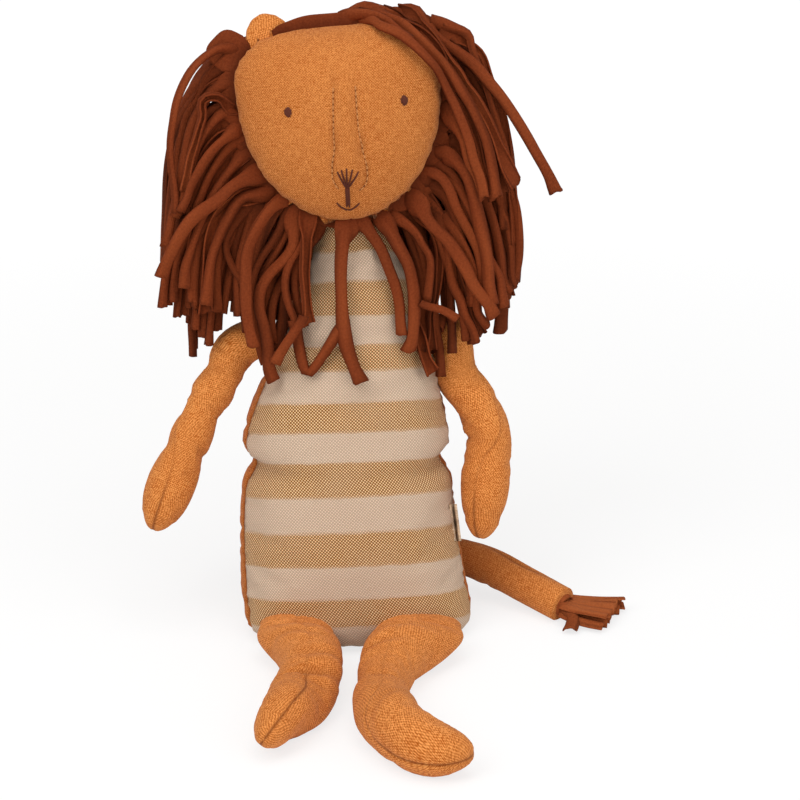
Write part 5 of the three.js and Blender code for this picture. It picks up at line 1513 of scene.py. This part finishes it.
for name, grids in bandGrids.items():
    thing = sheetMesh(name + "_jersey", grids, mane["thick"])
    finish(thing, maneJersey, "mane_jersey", None, name)
    sizes = [(wide, length) for band, wide, length in cuts if band == name]
    wide, tall = sum(w for w, _ in sizes), max(length for _, length in sizes) + mane["uncut"]
    area = min(sum(w * length for w, length in sizes) + mane["uncut"] * wide, wide * tall)
    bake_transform(thing)
    print(f"{name}: {len(grids)} pieces of cloth, flat {wide:.0f} x {tall:.0f} mm, {area / 100:.0f} cm2")
print(f"mane made of {len(cuts)} strips")


# tail tuft: a jersey collar inside the tail's end, and the strips it is cut into
tuft = {"strips": 11, "length": 24, "wide": 7.4, "heading": -6, "spread": 30, "collar": 4.5, "collarLong": 41,
        "low": 2.2, "layer": 3.6, "floor": 0.4, "height": 34}
end, along = tailLine[-1], unit(tailLine[-1] - tailLine[-4])
heading = math.radians(tuft["heading"])
level = np.array([math.cos(heading), math.sin(heading), 0])
across, upright = np.array([-level[1], level[0], 0]), np.array([0, 0, 1.0])
k = np.linspace(0, 1, 8)
angle = np.linspace(0, 2 * np.pi, 41)
ring = unit(np.cross(upright, along))
wound = np.cos(angle)[None, :, None] * ring + np.sin(angle)[None, :, None] * np.cross(along, ring)
r = tail["tip"] - 1.6 - 1.2 * k ** 2
wound = (end - 3.5 * along)[None, None] + along * (tuft["collar"] * k)[:, None, None] \
    + wound * (r[:, None] + 0.25 * np.linspace(0, 1, 41)[None])[..., None]
# the collar has a little painted shade
grids = [(wound, np.stack(np.broadcast_arrays(angle[None] * 6.5, tuft["collar"] * k[:, None]), -1), 0.1)]
area, cutWide = tuft["collarLong"] * tuft["collar"], 0.0
for k in range(tuft["strips"]):
    # strips lie side by side in two layers, painted lighter, the upper layer most
    t, layer = k / (tuft["strips"] - 1) - 0.5, k % 2
    turn = math.radians(tuft["spread"]) * t
    way = level * math.cos(turn) + across * math.sin(turn)
    length = tuft["length"] * (0.95 + 0.36 * t + 0.08 * float(wander(k, 5.0)))
    s = np.linspace(0, 1, 9)[:, None] * length
    path = end - along * 2 + across * t * tail["tip"] * 1.6 + way * s
    low = tuft["low"] + layer * tuft["layer"]
    path[:, 2] = (low + (tail["tip"] + 3.4 * (layer - 0.4) - low) * np.exp(-s / 10))[:, 0]
    line, run = smoothLine(path, 40)
    curl, spin = 2.2 + 0.8 * float(wander(k, 3.0)), 0.5 * float(wander(k, 8.0))
    grids.append(ribbon(line, run, tuft["wide"], curl, spin, upright, 0.3 * float(wander(k)),
                        -0.1 - 0.2 * layer, 1, 8, k * 2.1, 1, 0.1))
    area, cutWide = area + tuft["wide"] * run, cutWide + tuft["wide"]
# the last strip is folded back under the others, with a little painted shade
stubWide = 7.5
line, run = smoothLine(end + np.array([[0, -3, 1], [3, -7, -1], [2.5, -11, -3], [1, -15.5, -4]]), 30)
grids.append(ribbon(line, run, stubWide, 3.0, 0.3, upright, 0.2, 0.1, 1, 6, 4.4, 1, 0.3))
area, cutWide = area + stubWide * run, cutWide + stubWide
for grid, _, _ in grids:
    grid[..., 2] = np.maximum(grid[..., 2], tuft["floor"])
thing = sheetMesh("tuft_jersey", grids, mane["thick"])
finish(thing, tuftJersey, "mane_jersey", "tail", "tail_tuft")
print("tuft made")


# side label: a tape folded where it is sewn in, seen almost along its two leaves
label = {"top": (452.8, 504), "bottom": (457.4, 541), "out": 4.5, "sewnIn": 1.4, "apart": 2.9, "thick": 0.9,
         "width": 15}
down = np.linspace(0, 1, 10)
spots = np.array(label["top"]) + (np.array(label["bottom"]) - label["top"]) * down[:, None]
hits = [bodyTree.ray_cast(Vector(eyeAt), Vector(d))[3] or np.nan for d in sight(spots[:, 0], spots[:, 1])]
reach = np.where(np.isnan(hits), np.nanmean(hits), hits)
leaves, rows = [-1, -0.8, -0.5, -0.25, -0.08, 0.08, 0.25, 0.5, 0.8, 1], []
for k in leaves:
    way = sight(spots[:, 0] + label["apart"] * np.sign(k) * abs(k) ** 0.7, spots[:, 1])
    out = label["sewnIn"] - (label["out"] + label["sewnIn"]) * abs(k)
    rows.append(eyeAt + way * (reach + out)[:, None])
flatWide = 2 * (label["out"] + label["sewnIn"])
uv = np.stack(np.meshgrid(np.linspace(0, flatWide, 10), down * label["width"]), -1)
# painted shade between the two leaves, deepest at the fold
shade = 0.5 - 0.5 * np.abs(np.linspace(-1, 1, 10))[None]
thing = sheetMesh("side_label_tape", [(np.stack(rows, 1), uv, shade)], label["thick"])
finish(thing, cottonTape, "cotton_tape", "torso", "side_label")
print("label made")
